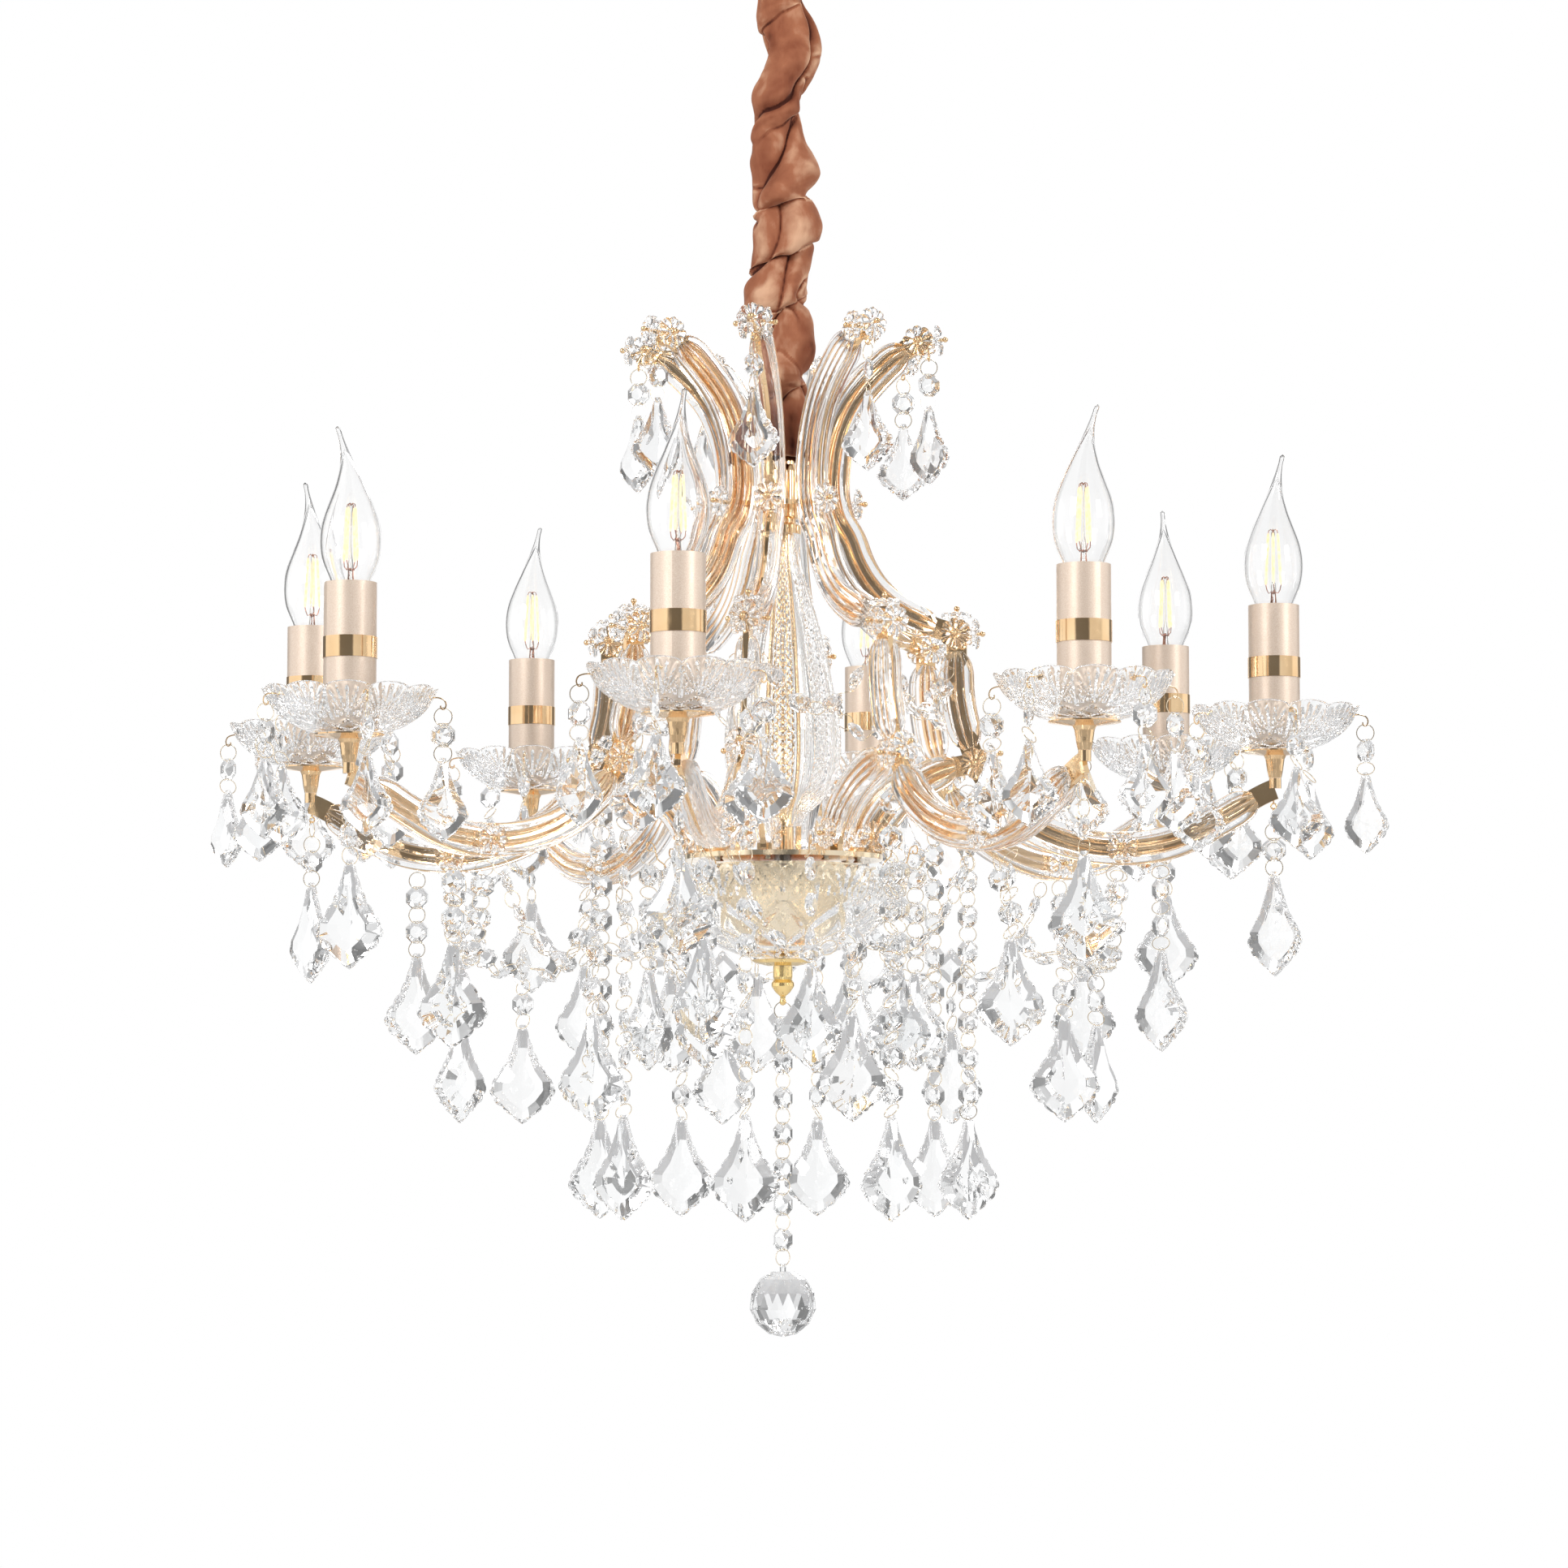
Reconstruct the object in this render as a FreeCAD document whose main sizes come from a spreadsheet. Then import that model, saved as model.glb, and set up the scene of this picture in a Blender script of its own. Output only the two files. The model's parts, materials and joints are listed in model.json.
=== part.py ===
"""Eight-light crystal chandelier hanging by a chain from a ceiling bracket.

Millimetres, +Z up. The origin is on the ceiling plane, at the middle of the bracket.
Heights of the light itself are measured from the plane of the candle sleeves' tops.
"""

import FreeCAD
import Part
import Sketcher
import math
import os

V = FreeCAD.Vector
UP = V(0, 0, 1)
OUTWARD = V(1, 0, 0)
SIDEWAYS = V(0, 1, 0)

DRIVING = {
    # ceiling end
    "candle_plane": -435.0,
    "bracket_length": 90.0,
    "bracket_width": 20.0,
    "bracket_thick": 2.0,
    "screw_spacing": 70.0,
    "screw_hole_radius": 2.6,
    "hook_stem_radius": 4.0,
    "hook_stem_length": 54.0,
    "hook_eye_radius": 5.5,
    "hook_wire_radius": 2.0,
    "canopy_radius": 60.0,
    "canopy_height": 44.0,
    "canopy_wall": 1.0,
    "canopy_ring_radius": 9.0,
    "canopy_ring_height": 6.0,
    "link_end_radius": 5.5,
    "link_straight": 12.0,
    "link_wire_radius": 1.6,
    "link_gap": 0.5,
    "link_count": 13,
    "velvet_bore_radius": 10.0,
    "velvet_radius": 16.0,
    # column
    "rod_radius": 5.0,
    "hub_radius": 9.3,
    "hub_top": 92.0,
    "hub_height": 42.0,
    "crown_plate_radius": 20.0,
    "crown_plate_height": 66.0,
    "crown_plate_thick": 3.0,
    "vase_top": 50.0,
    "vase_bottom": -127.0,
    "vase_wall": 3.0,
    "spindle_radius": 6.6,
    "arm_plate_radius": 60.0,
    "arm_plate_thick": 3.0,
    "arm_plate_top": -144.2,
    "dish_wall": 1.0,
    "bowl_radius": 75.0,
    "bowl_wall": 4.0,
    "washer_radius": 19.5,
    "finial_tip": -234.0,
    # arms and lamps
    "arm_count": 8,
    "first_arm_angle": -101.0,
    "lamp_circle_radius": 295.0,
    "strip_width": 12.0,
    "strip_thick": 3.5,
    "bar_width": 19.5,
    "bar_thick": 4.5,
    "fit_gap": 0.1,
    "boss_radius": 7.5,
    "rosette_radius": 9.3,
    "rosette_thick": 3.2,
    "pin_radius": 1.0,
    "pan_radius": 20.0,
    "pan_top": -86.0,
    "bobeche_radius": 50.0,
    "bobeche_height": 26.0,
    "bobeche_wall": 3.5,
    "sleeve_radius": 15.0,
    "sleeve_wall": 1.0,
    "band_height": 12.0,
    "band_drop": 31.0,
    "holder_radius": 13.5,
    "bulb_radius": 17.5,
    "bulb_height": 89.0,
    "bulb_wall": 0.9,
    "cap_radius": 6.9,
    # crystals
    "bead_radius": 7.4,
    "bead_thick": 5.6,
    "bead_hole_reach": 5.4,
    "bead_hole_radius": 0.85,
    "ring_radius": 5.1,
    "ring_wire_radius": 0.35,
    "small_drop_height": 48.0,
    "small_drop_width": 33.0,
    "large_drop_height": 62.0,
    "large_drop_width": 41.0,
    "drop_thick": 11.0,
    "rhombus_reach": 12.5,
    "ball_radius": 20.0,
}

doc = FreeCAD.newDocument("chandelier")
sheet = doc.addObject("Spreadsheet::Sheet", "Sizes")
PARTS = {}


# ---------------------------------------------------------------- sizes

class Size:
    """A number together with the sheet expression that gives it."""

    def __init__(self, value, text):
        self.value = value
        self.text = text

    def __add__(self, other):
        other = as_size(other)
        return Size(self.value + other.value, "(%s + %s)" % (self.text, other.text))

    def __sub__(self, other):
        other = as_size(other)
        return Size(self.value - other.value, "(%s - %s)" % (self.text, other.text))

    def __mul__(self, other):
        other = as_size(other)
        return Size(self.value * other.value, "(%s * %s)" % (self.text, other.text))

    def __neg__(self):
        return Size(-self.value, "(0 - %s)" % self.text)


def as_size(number):
    if isinstance(number, Size):
        return number
    return Size(float(number), "(0 %+f)" % float(number))


def fill_sheet():
    for row, (name, value) in enumerate(DRIVING.items(), 1):
        sheet.set("A%d" % row, name)
        sheet.set("B%d" % row, str(value))
        sheet.setAlias("B%d" % row, name)
    doc.recompute()


def size(name):
    return Size(float(sheet.get(name)), "Sizes." + name)


def mm(name):
    return size(name).value


def bind(thing, **properties):
    for name, value in properties.items():
        value = as_size(value)
        setattr(thing, name, value.value)
        thing.setExpression(name, value.text)


def place_at(thing, x=0, y=0, z=0, turn=None):
    """Puts a parametric object at sizes x, y, z, turned by an optional FreeCAD.Rotation."""
    thing.Placement = FreeCAD.Placement(V(0, 0, 0), turn or FreeCAD.Rotation())
    for axis, value in (("x", x), ("y", y), ("z", z)):
        thing.setExpression("Placement.Base." + axis, as_size(value).text)


def level(height):
    """The absolute height of something measured from the candle plane."""
    return size("candle_plane") + height


def keep(label, thing):
    thing.Label = label
    PARTS[label] = thing
    return thing


# ---------------------------------------------------------------- building blocks

def cylinder(name, radius, height, z=0, x=0, y=0, turn=None):
    thing = doc.addObject("Part::Cylinder", name)
    bind(thing, Radius=radius, Height=height)
    place_at(thing, x, y, z, turn)
    return thing


def torus(name, ring, wire, z, turn, sweep=360):
    thing = doc.addObject("Part::Torus", name)
    bind(thing, Radius1=ring, Radius2=wire)
    thing.Angle3 = sweep
    place_at(thing, z=z, turn=turn)
    return thing


def fused(name, pieces):
    thing = doc.addObject("Part::MultiFuse", name)
    thing.Shapes = pieces
    return thing


def cut(name, base, tool):
    thing = doc.addObject("Part::Cut", name)
    thing.Base = base
    thing.Tool = tool
    return thing


def tube(name, outer, inner, height, z):
    return cut(name, cylinder(name + "_outside", outer, height, z),
               cylinder(name + "_bore", inner, height, z))


def origin_plane(body, role):
    for feature in body.Origin.OriginFeatures:
        if feature.Role == role:
            return feature
    raise RuntimeError("no plane " + role)


def new_sketch(body, name, role):
    sketch = body.newObject("Sketcher::SketchObject", name)
    sketch.AttachmentSupport = [(origin_plane(body, role), "")]
    sketch.MapMode = "FlatFace"
    return sketch


def hold_point(sketch, edge, end, across, along):
    """Ties one end of a sketch line to the sheet, or to an axis where the size is zero."""
    for kind, value, axis in (("DistanceX", across, -2), ("DistanceY", along, -1)):
        if abs(value.value) < 1e-9:
            sketch.addConstraint(Sketcher.Constraint("PointOnObject", edge, end, axis))
        else:
            index = sketch.addConstraint(
                Sketcher.Constraint(kind, -1, 1, edge, end, value.value))
            sketch.setExpression("Constraints[%d]" % index, value.text)


def closed_outline(sketch, corners):
    corners = [(as_size(a), as_size(b)) for a, b in corners]
    count = len(corners)
    for i in range(count):
        a, b = corners[i], corners[(i + 1) % count]
        sketch.addGeometry(Part.LineSegment(V(a[0].value, a[1].value, 0),
                                            V(b[0].value, b[1].value, 0)), False)
    for i in range(count):
        sketch.addConstraint(Sketcher.Constraint("Coincident", i, 2, (i + 1) % count, 1))
        hold_point(sketch, i, 1, *corners[i])


def circle(sketch, radius, across=0):
    radius, across = as_size(radius), as_size(across)
    edge = sketch.addGeometry(Part.Circle(V(across.value, 0, 0), UP, radius.value), False)
    index = sketch.addConstraint(Sketcher.Constraint("Radius", edge, radius.value))
    sketch.setExpression("Constraints[%d]" % index, radius.text)
    hold_point(sketch, edge, 3, across, as_size(0))


def turned_body(name, corners, z):
    """A PartDesign body turned about Z from (radius, height) corners, its foot at height z."""
    body = doc.addObject("PartDesign::Body", name)
    sketch = new_sketch(body, name + "_outline", "XZ_Plane")
    closed_outline(sketch, corners)
    turn = body.newObject("PartDesign::Revolution", name + "_turn")
    turn.Profile = sketch
    turn.ReferenceAxis = (sketch, ["V_Axis"])
    turn.Angle = 360.0
    sketch.Visibility = False
    place_at(body, z=z)
    return body


def smooth_edge(points):
    curve = Part.BSplineCurve()
    curve.interpolate([V(*p) if isinstance(p, tuple) else p for p in points])
    return curve


def shell_of_revolution(outside, inside):
    """Turns the face between two smooth (radius, height) outlines, joined at their ends."""
    outer = smooth_edge([V(r, 0, z) for r, z in outside])
    inner = smooth_edge([V(r, 0, z) for r, z in inside])
    edges = [outer.toShape(), inner.toShape()]
    for i in (0, -1):
        a, b = V(outside[i][0], 0, outside[i][1]), V(inside[i][0], 0, inside[i][1])
        edges.append(Part.LineSegment(a, b).toShape())
    face = Part.Face(Part.Wire(Part.__sortEdges__(edges)))
    return face.revolve(V(0, 0, 0), UP, 360)


def inset(outline, wall):
    """A downward outline moved by a wall thickness along its own normals, towards the axis."""
    moved = []
    for i, (r, z) in enumerate(outline):
        before = outline[max(i - 1, 0)]
        after = outline[min(i + 1, len(outline) - 1)]
        along = V(after[0] - before[0], 0, after[1] - before[1]).normalize()
        moved.append((r + along.z * wall, z - along.x * wall))
    return moved


def feature(label, shape, z=0.0, angle=0.0):
    thing = doc.addObject("Part::Feature", label)
    thing.Shape = shape
    thing.Placement = FreeCAD.Placement(V(0, 0, z), FreeCAD.Rotation(UP, angle))
    return keep(label, thing)


def arm_angles():
    count = int(mm("arm_count"))
    return [mm("first_arm_angle") + 360.0 * i / count for i in range(count)]


def turned_copy(shape, angle, offset=None):
    copy = shape.copy()
    if offset is not None:
        copy.translate(offset)
    copy.rotate(V(0, 0, 0), UP, angle)
    return copy


def around_arms(shapes, offset=None):
    if not isinstance(shapes, list):
        shapes = [shapes]
    return [turned_copy(s, angle, offset) for angle in arm_angles() for s in shapes]


def at_lamps(shape):
    return around_arms(shape, V(mm("lamp_circle_radius"), 0, 0))


def group(label, shapes, z=0.0):
    return feature(label, Part.makeCompound(shapes), z)


# ---------------------------------------------------------------- ceiling end

def ceiling_bracket():
    body = doc.addObject("PartDesign::Body", "bracket")
    outline = new_sketch(body, "bracket_outline", "XY_Plane")
    half, wide = size("bracket_length") * 0.5, size("bracket_width") * 0.5
    closed_outline(outline, [(-half, -wide), (half, -wide), (half, wide), (-half, wide)])
    pad = body.newObject("PartDesign::Pad", "bracket_pad")
    pad.Profile = outline
    bind(pad, Length=size("bracket_thick"))
    holes = new_sketch(body, "bracket_holes", "XY_Plane")
    spread = size("screw_spacing") * 0.5
    circle(holes, size("screw_hole_radius"), spread)
    circle(holes, size("screw_hole_radius"), -spread)
    circle(holes, size("hook_stem_radius") + 0.05)
    pocket = body.newObject("PartDesign::Pocket", "bracket_drill")
    pocket.Profile = holes
    pocket.Type = "ThroughAll"
    pocket.Reversed = True
    place_at(body, z=-size("bracket_thick"))
    keep("ceiling_bracket", body)


def ceiling_hook():
    """A threaded stem with a flange under the bracket and a nearly closed eye below."""
    length = size("hook_stem_length")
    stem = cylinder("hook_stem", size("hook_stem_radius"), length, -length)
    flange = cylinder("hook_flange", size("hook_stem_radius") * 2, 3,
                      -size("bracket_thick") - 3.1)
    quarter = FreeCAD.Rotation(V(1, 0, 0), 90).multiply(FreeCAD.Rotation(UP, 110))
    eye = torus("hook_eye", size("hook_eye_radius"), size("hook_wire_radius"),
                -length - size("hook_eye_radius") - 0.5, quarter, 325)
    keep("ceiling_hook", fused("hook", [stem, flange, eye]))


def canopy():
    radius, height, wall = size("canopy_radius"), size("canopy_height"), size("canopy_wall")
    neck = size("hook_stem_radius") + 1.0
    corners = [
        (neck, 0), (radius * 0.35, 0), (radius * 0.62, height * 0.12),
        (radius * 0.86, height * 0.40), (radius * 0.97, height * 0.75), (radius, height),
        (radius - wall, height), (radius * 0.97 - wall, height * 0.75),
        (radius * 0.86 - wall, height * 0.40 + wall * 0.6),
        (radius * 0.62 - wall * 0.5, height * 0.12 + wall), (radius * 0.35, wall),
        (neck, wall)]
    keep("canopy", turned_body("canopy_body", corners, -height - 0.5))


def canopy_ring():
    bore = size("hook_stem_radius") + 0.05
    ring, height = size("canopy_ring_radius"), size("canopy_ring_height")
    corners = [(bore, 0), (ring * 0.8, 0), (ring, height * 0.3), (ring, height * 0.7),
               (ring * 0.8, height), (bore, height)]
    keep("canopy_ring", turned_body("canopy_ring_body", corners,
                                    -size("canopy_height") - 0.6 - height))


def terminal_block():
    block = doc.addObject("Part::Box", "terminal_box")
    bind(block, Length=26, Width=12, Height=14)
    place_at(block, -13, 15, -size("bracket_thick") - 16.5)
    bores = [cylinder("terminal_bore_%d" % i, 1.6, 12, x=x, y=15,
                      z=-size("bracket_thick") - 9.5,
                      turn=FreeCAD.Rotation(V(1, 0, 0), -90))
             for i, x in enumerate((-8, 0, 8))]
    keep("terminal_block", cut("terminal_drilled", block, fused("terminal_bores", bores)))


def chain_link():
    """One oval link: a stadium of round wire standing in the XZ plane round the origin."""
    end, half = mm("link_end_radius"), mm("link_straight") / 2
    upper = Part.Arc(V(end, 0, half), V(0, 0, half + end), V(-end, 0, half))
    lower = Part.Arc(V(-end, 0, -half), V(0, 0, -half - end), V(end, 0, -half))
    left = Part.LineSegment(V(-end, 0, half), V(-end, 0, -half))
    right = Part.LineSegment(V(end, 0, -half), V(end, 0, half))
    path = Part.Wire([c.toShape() for c in (upper, left, lower, right)])
    wire = Part.Wire(Part.Circle(V(end, 0, half), UP, mm("link_wire_radius")).toShape())
    return path.makePipeShell([wire], True, True)


def hook_wire_height():
    return -mm("hook_stem_length") - 2 * mm("hook_eye_radius") - 0.5


def link_heights():
    """Centres of the links, each resting on the wire of the one above."""
    wire, gap = mm("link_wire_radius"), mm("link_gap")
    half = mm("link_end_radius") + mm("link_straight") / 2
    first = hook_wire_height() + mm("hook_wire_radius") + wire + gap - half
    pitch = 2 * half - 2 * wire - gap
    return [first - pitch * i for i in range(int(mm("link_count")))]


def chain():
    """Every other link stands a quarter turn from its neighbours."""
    link, heights = chain_link(), link_heights()
    shapes = []
    for i, height in enumerate(heights[1:], 1):
        copy = turned_copy(link, 90 if i % 2 == 0 else 0)
        copy.translate(V(0, 0, height))
        shapes.append(copy)
    feature("first_chain_link", link, heights[0], 90)
    group("chain", shapes)


def velvet_sleeve():
    """The closed solid that the gathered velvet fills, puffed along its length."""
    bore, wide = size("velvet_bore_radius"), size("velvet_radius")
    foot = level(size("hub_top") + 3.2)
    top = -size("canopy_height") - size("canopy_ring_height") - 2.5
    tall = top - foot
    neck = size("rod_radius") + 4.5
    corners = [(size("rod_radius") + 0.6, 0), (neck, 0), (wide * 0.8, tall * 0.10)]
    puffs = 6
    for i in range(puffs):
        corners.append((wide * (1.12 if i % 2 else 0.88), tall * (0.18 + 0.13 * i)))
    corners += [(wide * 0.85, tall), (bore, tall), (bore, tall * 0.09)]
    keep("velvet_sleeve", turned_body("velvet_body", corners, foot))


# ---------------------------------------------------------------- column

def top_loop():
    """The eye that the last link holds, its stem and the flange on the crown hub."""
    wire, gap = mm("link_wire_radius"), mm("link_gap")
    half = mm("link_end_radius") + mm("link_straight") / 2
    centre = link_heights()[-1] - half + 2 * wire + gap - mm("link_end_radius")
    flange_top = level(size("hub_top") + 3)
    eye = torus("loop_eye", size("link_end_radius"), wire, centre,
                FreeCAD.Rotation(V(1, 0, 0), 90))
    stem_top = centre - mm("link_end_radius")
    stem = cylinder("loop_stem", 3.5, -flange_top + stem_top + 0.2, flange_top - 0.1)
    flange = cylinder("loop_flange", size("rod_radius") + 2, 2.8, flange_top - 2.9)
    keep("top_loop", fused("loop", [eye, stem, flange]))


def crown_hub():
    radius, height = size("hub_radius"), size("hub_height")
    bore = size("rod_radius") + 0.1
    corners = [(bore, 0), (radius + 1.7, 0), (radius + 1.7, 5), (radius - 1.5, 6.5),
               (radius - 1.5, 9), (radius, 10), (radius, height - 4), (radius - 1.2, height),
               (bore, height)]
    keep("crown_hub", turned_body("crown_hub_body", corners, level(size("hub_top") - height)))


def centre_rod():
    top = level(size("hub_top") - 0.2)
    foot = level(size("finial_tip") + 18)
    keep("centre_rod", cylinder("rod", size("rod_radius"), top - foot, foot))


def plate_with_tabs(name, radius, bore, thick, z, tab_reach):
    """A round plate with one narrow tab towards each arm."""
    body = doc.addObject("PartDesign::Body", name)
    disc = new_sketch(body, name + "_disc", "XY_Plane")
    circle(disc, radius)
    circle(disc, bore)
    pad = body.newObject("PartDesign::Pad", name + "_pad")
    pad.Profile = disc
    bind(pad, Length=thick)
    tab = new_sketch(body, name + "_tab", "XY_Plane")
    half = size("strip_thick") * 0.5
    closed_outline(tab, [(radius - 4, -half), (tab_reach, -half),
                         (tab_reach, half), (radius - 4, half)])
    tabs = body.newObject("PartDesign::Pad", name + "_tab_pad")
    tabs.Profile = tab
    bind(tabs, Length=thick)
    pattern = body.newObject("PartDesign::PolarPattern", name + "_tabs")
    pattern.Originals = [tabs]
    pattern.Axis = (disc, ["N_Axis"])
    pattern.Angle = 360
    pattern.Occurrences = int(mm("arm_count"))
    body.Tip = pattern
    place_at(body, z=z, turn=FreeCAD.Rotation(UP, mm("first_arm_angle")))
    return body


def crown_plate():
    reach = size("crown_plate_radius") + 4.4
    keep("crown_plate", plate_with_tabs(
        "crown_plate_body", size("crown_plate_radius"), size("hub_radius") + 0.1,
        size("crown_plate_thick"), level(size("crown_plate_height")), reach))


def foot_radius():
    return size("arm_plate_radius") - 5.5


def arm_plate():
    """The round plate that the arms stand on, drilled for one screw an arm."""
    body = doc.addObject("PartDesign::Body", "arm_plate_body")
    disc = new_sketch(body, "arm_plate_disc", "XY_Plane")
    circle(disc, size("arm_plate_radius"))
    circle(disc, size("rod_radius") + 0.1)
    pad = body.newObject("PartDesign::Pad", "arm_plate_pad")
    pad.Profile = disc
    bind(pad, Length=size("arm_plate_thick"))
    hole = new_sketch(body, "arm_plate_hole", "XY_Plane")
    circle(hole, 1.6, foot_radius() - 9)
    drill = body.newObject("PartDesign::Pocket", "arm_plate_drill")
    drill.Profile = hole
    drill.Type = "ThroughAll"
    drill.Reversed = True
    pattern = body.newObject("PartDesign::PolarPattern", "arm_plate_holes")
    pattern.Originals = [drill]
    pattern.Axis = (disc, ["N_Axis"])
    pattern.Angle = 360
    pattern.Occurrences = int(mm("arm_count"))
    body.Tip = pattern
    place_at(body, z=level(size("arm_plate_top") - size("arm_plate_thick")),
             turn=FreeCAD.Rotation(UP, mm("first_arm_angle")))
    keep("arm_plate", body)


def core_tube():
    foot = level(size("vase_bottom") + 0.2)
    height = size("vase_top") - size("vase_bottom") - 0.4
    keep("core_tube", tube("core", size("rod_radius") + 1.2, size("rod_radius") + 0.1,
                           height, foot))


def glass_vase():
    """A blown baluster: narrow neck, shoulder that widens downwards, round belly."""
    outline = [(10.5, 49.8), (10.6, 36), (17.7, 10), (25, -17), (31, -46), (35, -72),
               (33.5, -93), (26, -109), (14.5, -120), (10.5, -126.8)]
    inside = inset(outline, mm("vase_wall"))
    inside[0] = (7.2, 49.8)
    inside[1] = (7.5, 37)
    inside[-1] = (7.2, -126.8)
    inside[-2] = (11.0, -118)
    feature("glass_vase", shell_of_revolution(outline, inside), mm("candle_plane"))


def lower_spindle():
    foot = level(size("arm_plate_top") + 0.1)
    height = size("vase_bottom") - size("arm_plate_top") - 0.2
    keep("lower_spindle", tube("spindle", size("spindle_radius"), size("rod_radius") + 0.1,
                               height, foot))


def inner_dish():
    """The gilt dish that shows through the cut glass bowl."""
    outline = [(46, -150), (43, -163), (36, -178), (26, -192), (16, -197.5), (5.2, -198.5)]
    inside = inset(outline, mm("dish_wall"))
    inside[0] = (46 - mm("dish_wall"), -150)
    inside[-1] = (5.2, -198.5 + mm("dish_wall"))
    feature("inner_dish", shell_of_revolution(outline, inside), mm("candle_plane"))


def glass_bowl():
    outline = [(mm("bowl_radius"), -153), (74.2, -164), (67, -178), (54, -190), (38, -199),
               (24, -204), (14, -205.6), (5.2, -206)]
    inside = inset(outline, mm("bowl_wall"))
    inside[0] = (mm("bowl_radius") - mm("bowl_wall"), -153)
    inside[-1] = (5.2, -206 + mm("bowl_wall"))
    feature("glass_bowl", shell_of_revolution(outline, inside), mm("candle_plane"))


def bowl_washer():
    bore, radius = size("rod_radius") + 0.1, size("washer_radius")
    corners = [(bore, 0), (radius * 0.45, 0), (radius * 0.85, 1.8), (radius, 3.6),
               (radius - 1.2, 3.9), (bore, 3.9)]
    keep("bowl_washer", turned_body("bowl_washer_body", corners, level(-210.4)))


def finial():
    """A turned baluster drop on the end of the rod, drilled near its tip for a ring."""
    foot = level(size("finial_tip"))
    bore = size("rod_radius") + 0.1
    corners = [(0, 0), (1.5, 0.6), (2.1, 2.2), (1.5, 4.0), (1.7, 5.5), (4.5, 8), (6.8, 11.5),
               (6.8, 13.5), (5.4, 15.5), (5.8, 17), (5.8, 23.5), (bore, 23.5),
               (bore, 17.8), (0, 17.8)]
    blank = turned_body("finial_body", corners, foot)
    hole = cylinder("finial_hole", size("bead_hole_radius") * 0.9, 10, z=foot + 2.2, x=-5,
                    turn=FreeCAD.Rotation(V(0, 1, 0), 90))
    keep("finial", cut("finial_drilled", blank, hole))


def screw():
    shank = Part.makeCylinder(1.5, 5.5)
    head = Part.makeCone(1.5, 2.8, 1.6, V(0, 0, 0), V(0, 0, -1))
    return shank.fuse(head)


def fixing_screws():
    """Eight screws up through the arm plate into the arms' feet, and the spindle's set screw."""
    under = mm("arm_plate_top") - mm("arm_plate_thick") - 0.1
    shapes = around_arms(screw(), V(foot_radius().value - 9, 0, under))
    grip = Part.makeCylinder(1.5, 3.0, V(0, mm("spindle_radius") + 0.1, -134), SIDEWAYS)
    shapes.append(turned_copy(grip, 50))
    group("fixing_screws", shapes, mm("candle_plane"))


# ---------------------------------------------------------------- arms

CROWN_LINE = [(84, 164), (71, 157), (56, 144), (43, 128), (34.5, 108), (31, 88), (31.2, 70),
              (34.5, 57), (40.8, 45.5), (46.8, 30), (54.5, 17), (64, 7), (76, -1.2),
              (90, -7.5), (106, -13)]
UPRIGHT_LINE = [(106, -13), (106, -34), (107, -53), (111, -72), (118, -91)]
INNER_LINE = [(118, -91), (103, -93), (89, -98.5), (75.5, -107.5), (64, -119), (57, -131),
              (54.5, -144)]
OUTER_LINE = [(118, -91), (131, -111.5), (152, -128.5), (182, -140), (208, -142.5),
              (235, -138.5), (260, -127), (277, -117.5), (288, -111.5), (295, -108.6)]
SHOULDER = (106, -13)
KNEE = (118, -91)
LOW_POINT = (205, -142.3)
HUB_END = (56.5, -134)
CROWN_TIP = (84, 164)
WAIST = (45.0, 67)
NODE_GAP = 10.5
ROSETTE_REACH = 10.2


def strip_face(line, width, start_trim, end_trim):
    """A flat ribbon of that width along a smooth line, trimmed at each end by a length."""
    curve = smooth_edge([V(r, 0, z) for r, z in line])
    total = curve.length()
    steps = max(8, int(total / 9))
    spots = [start_trim + (total - start_trim - end_trim) * i / steps
             for i in range(steps + 1)]
    inner, outer = [], []
    for spot in spots:
        at = curve.parameterAtDistance(spot, curve.FirstParameter)
        along = curve.tangent(at)[0]
        side = V(-along.z, 0, along.x) * (width / 2)
        inner.append(curve.value(at) + side)
        outer.append(curve.value(at) - side)
    edges = [smooth_edge(inner).toShape(), smooth_edge(outer).toShape(),
             Part.LineSegment(inner[0], outer[0]).toShape(),
             Part.LineSegment(inner[-1], outer[-1]).toShape()]
    return Part.Face(Part.Wire(Part.__sortEdges__(edges)))


def plate_of(face, thick, y):
    """The face given a thickness that starts at y."""
    copy = face.copy()
    copy.translate(V(0, y, 0))
    return copy.extrude(V(0, thick, 0))


# Each eye is the place on the arm that its stem starts from, and the stem's length.
CROWN_EYE = (89.5, 159.0, 3.0)
KNEE_EYE = (112.0, -97.5, 3.5)
LAMP_EYE = (294.0, -113.0, 4.0)
EYE_RADIUS = 1.6
EYE_WIRE = 0.45


def hanging_eye(r, z, stem, across):
    """A small wire eye below (r, z) on a stem, for a ring to hang in, its hole along across."""
    ring = Part.makeTorus(EYE_RADIUS, EYE_WIRE, V(r, 0, z - stem - EYE_RADIUS), across)
    post = Part.makeCylinder(EYE_WIRE, stem + 0.1, V(r, 0, z - stem - 0.1), UP)
    return ring.fuse(post)


def eye_pivot(eye):
    """The middle of the eye's lowest wire, where a ring hangs and turns."""
    return (eye[0], eye[1] - eye[2] - 2 * EYE_RADIUS)


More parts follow.
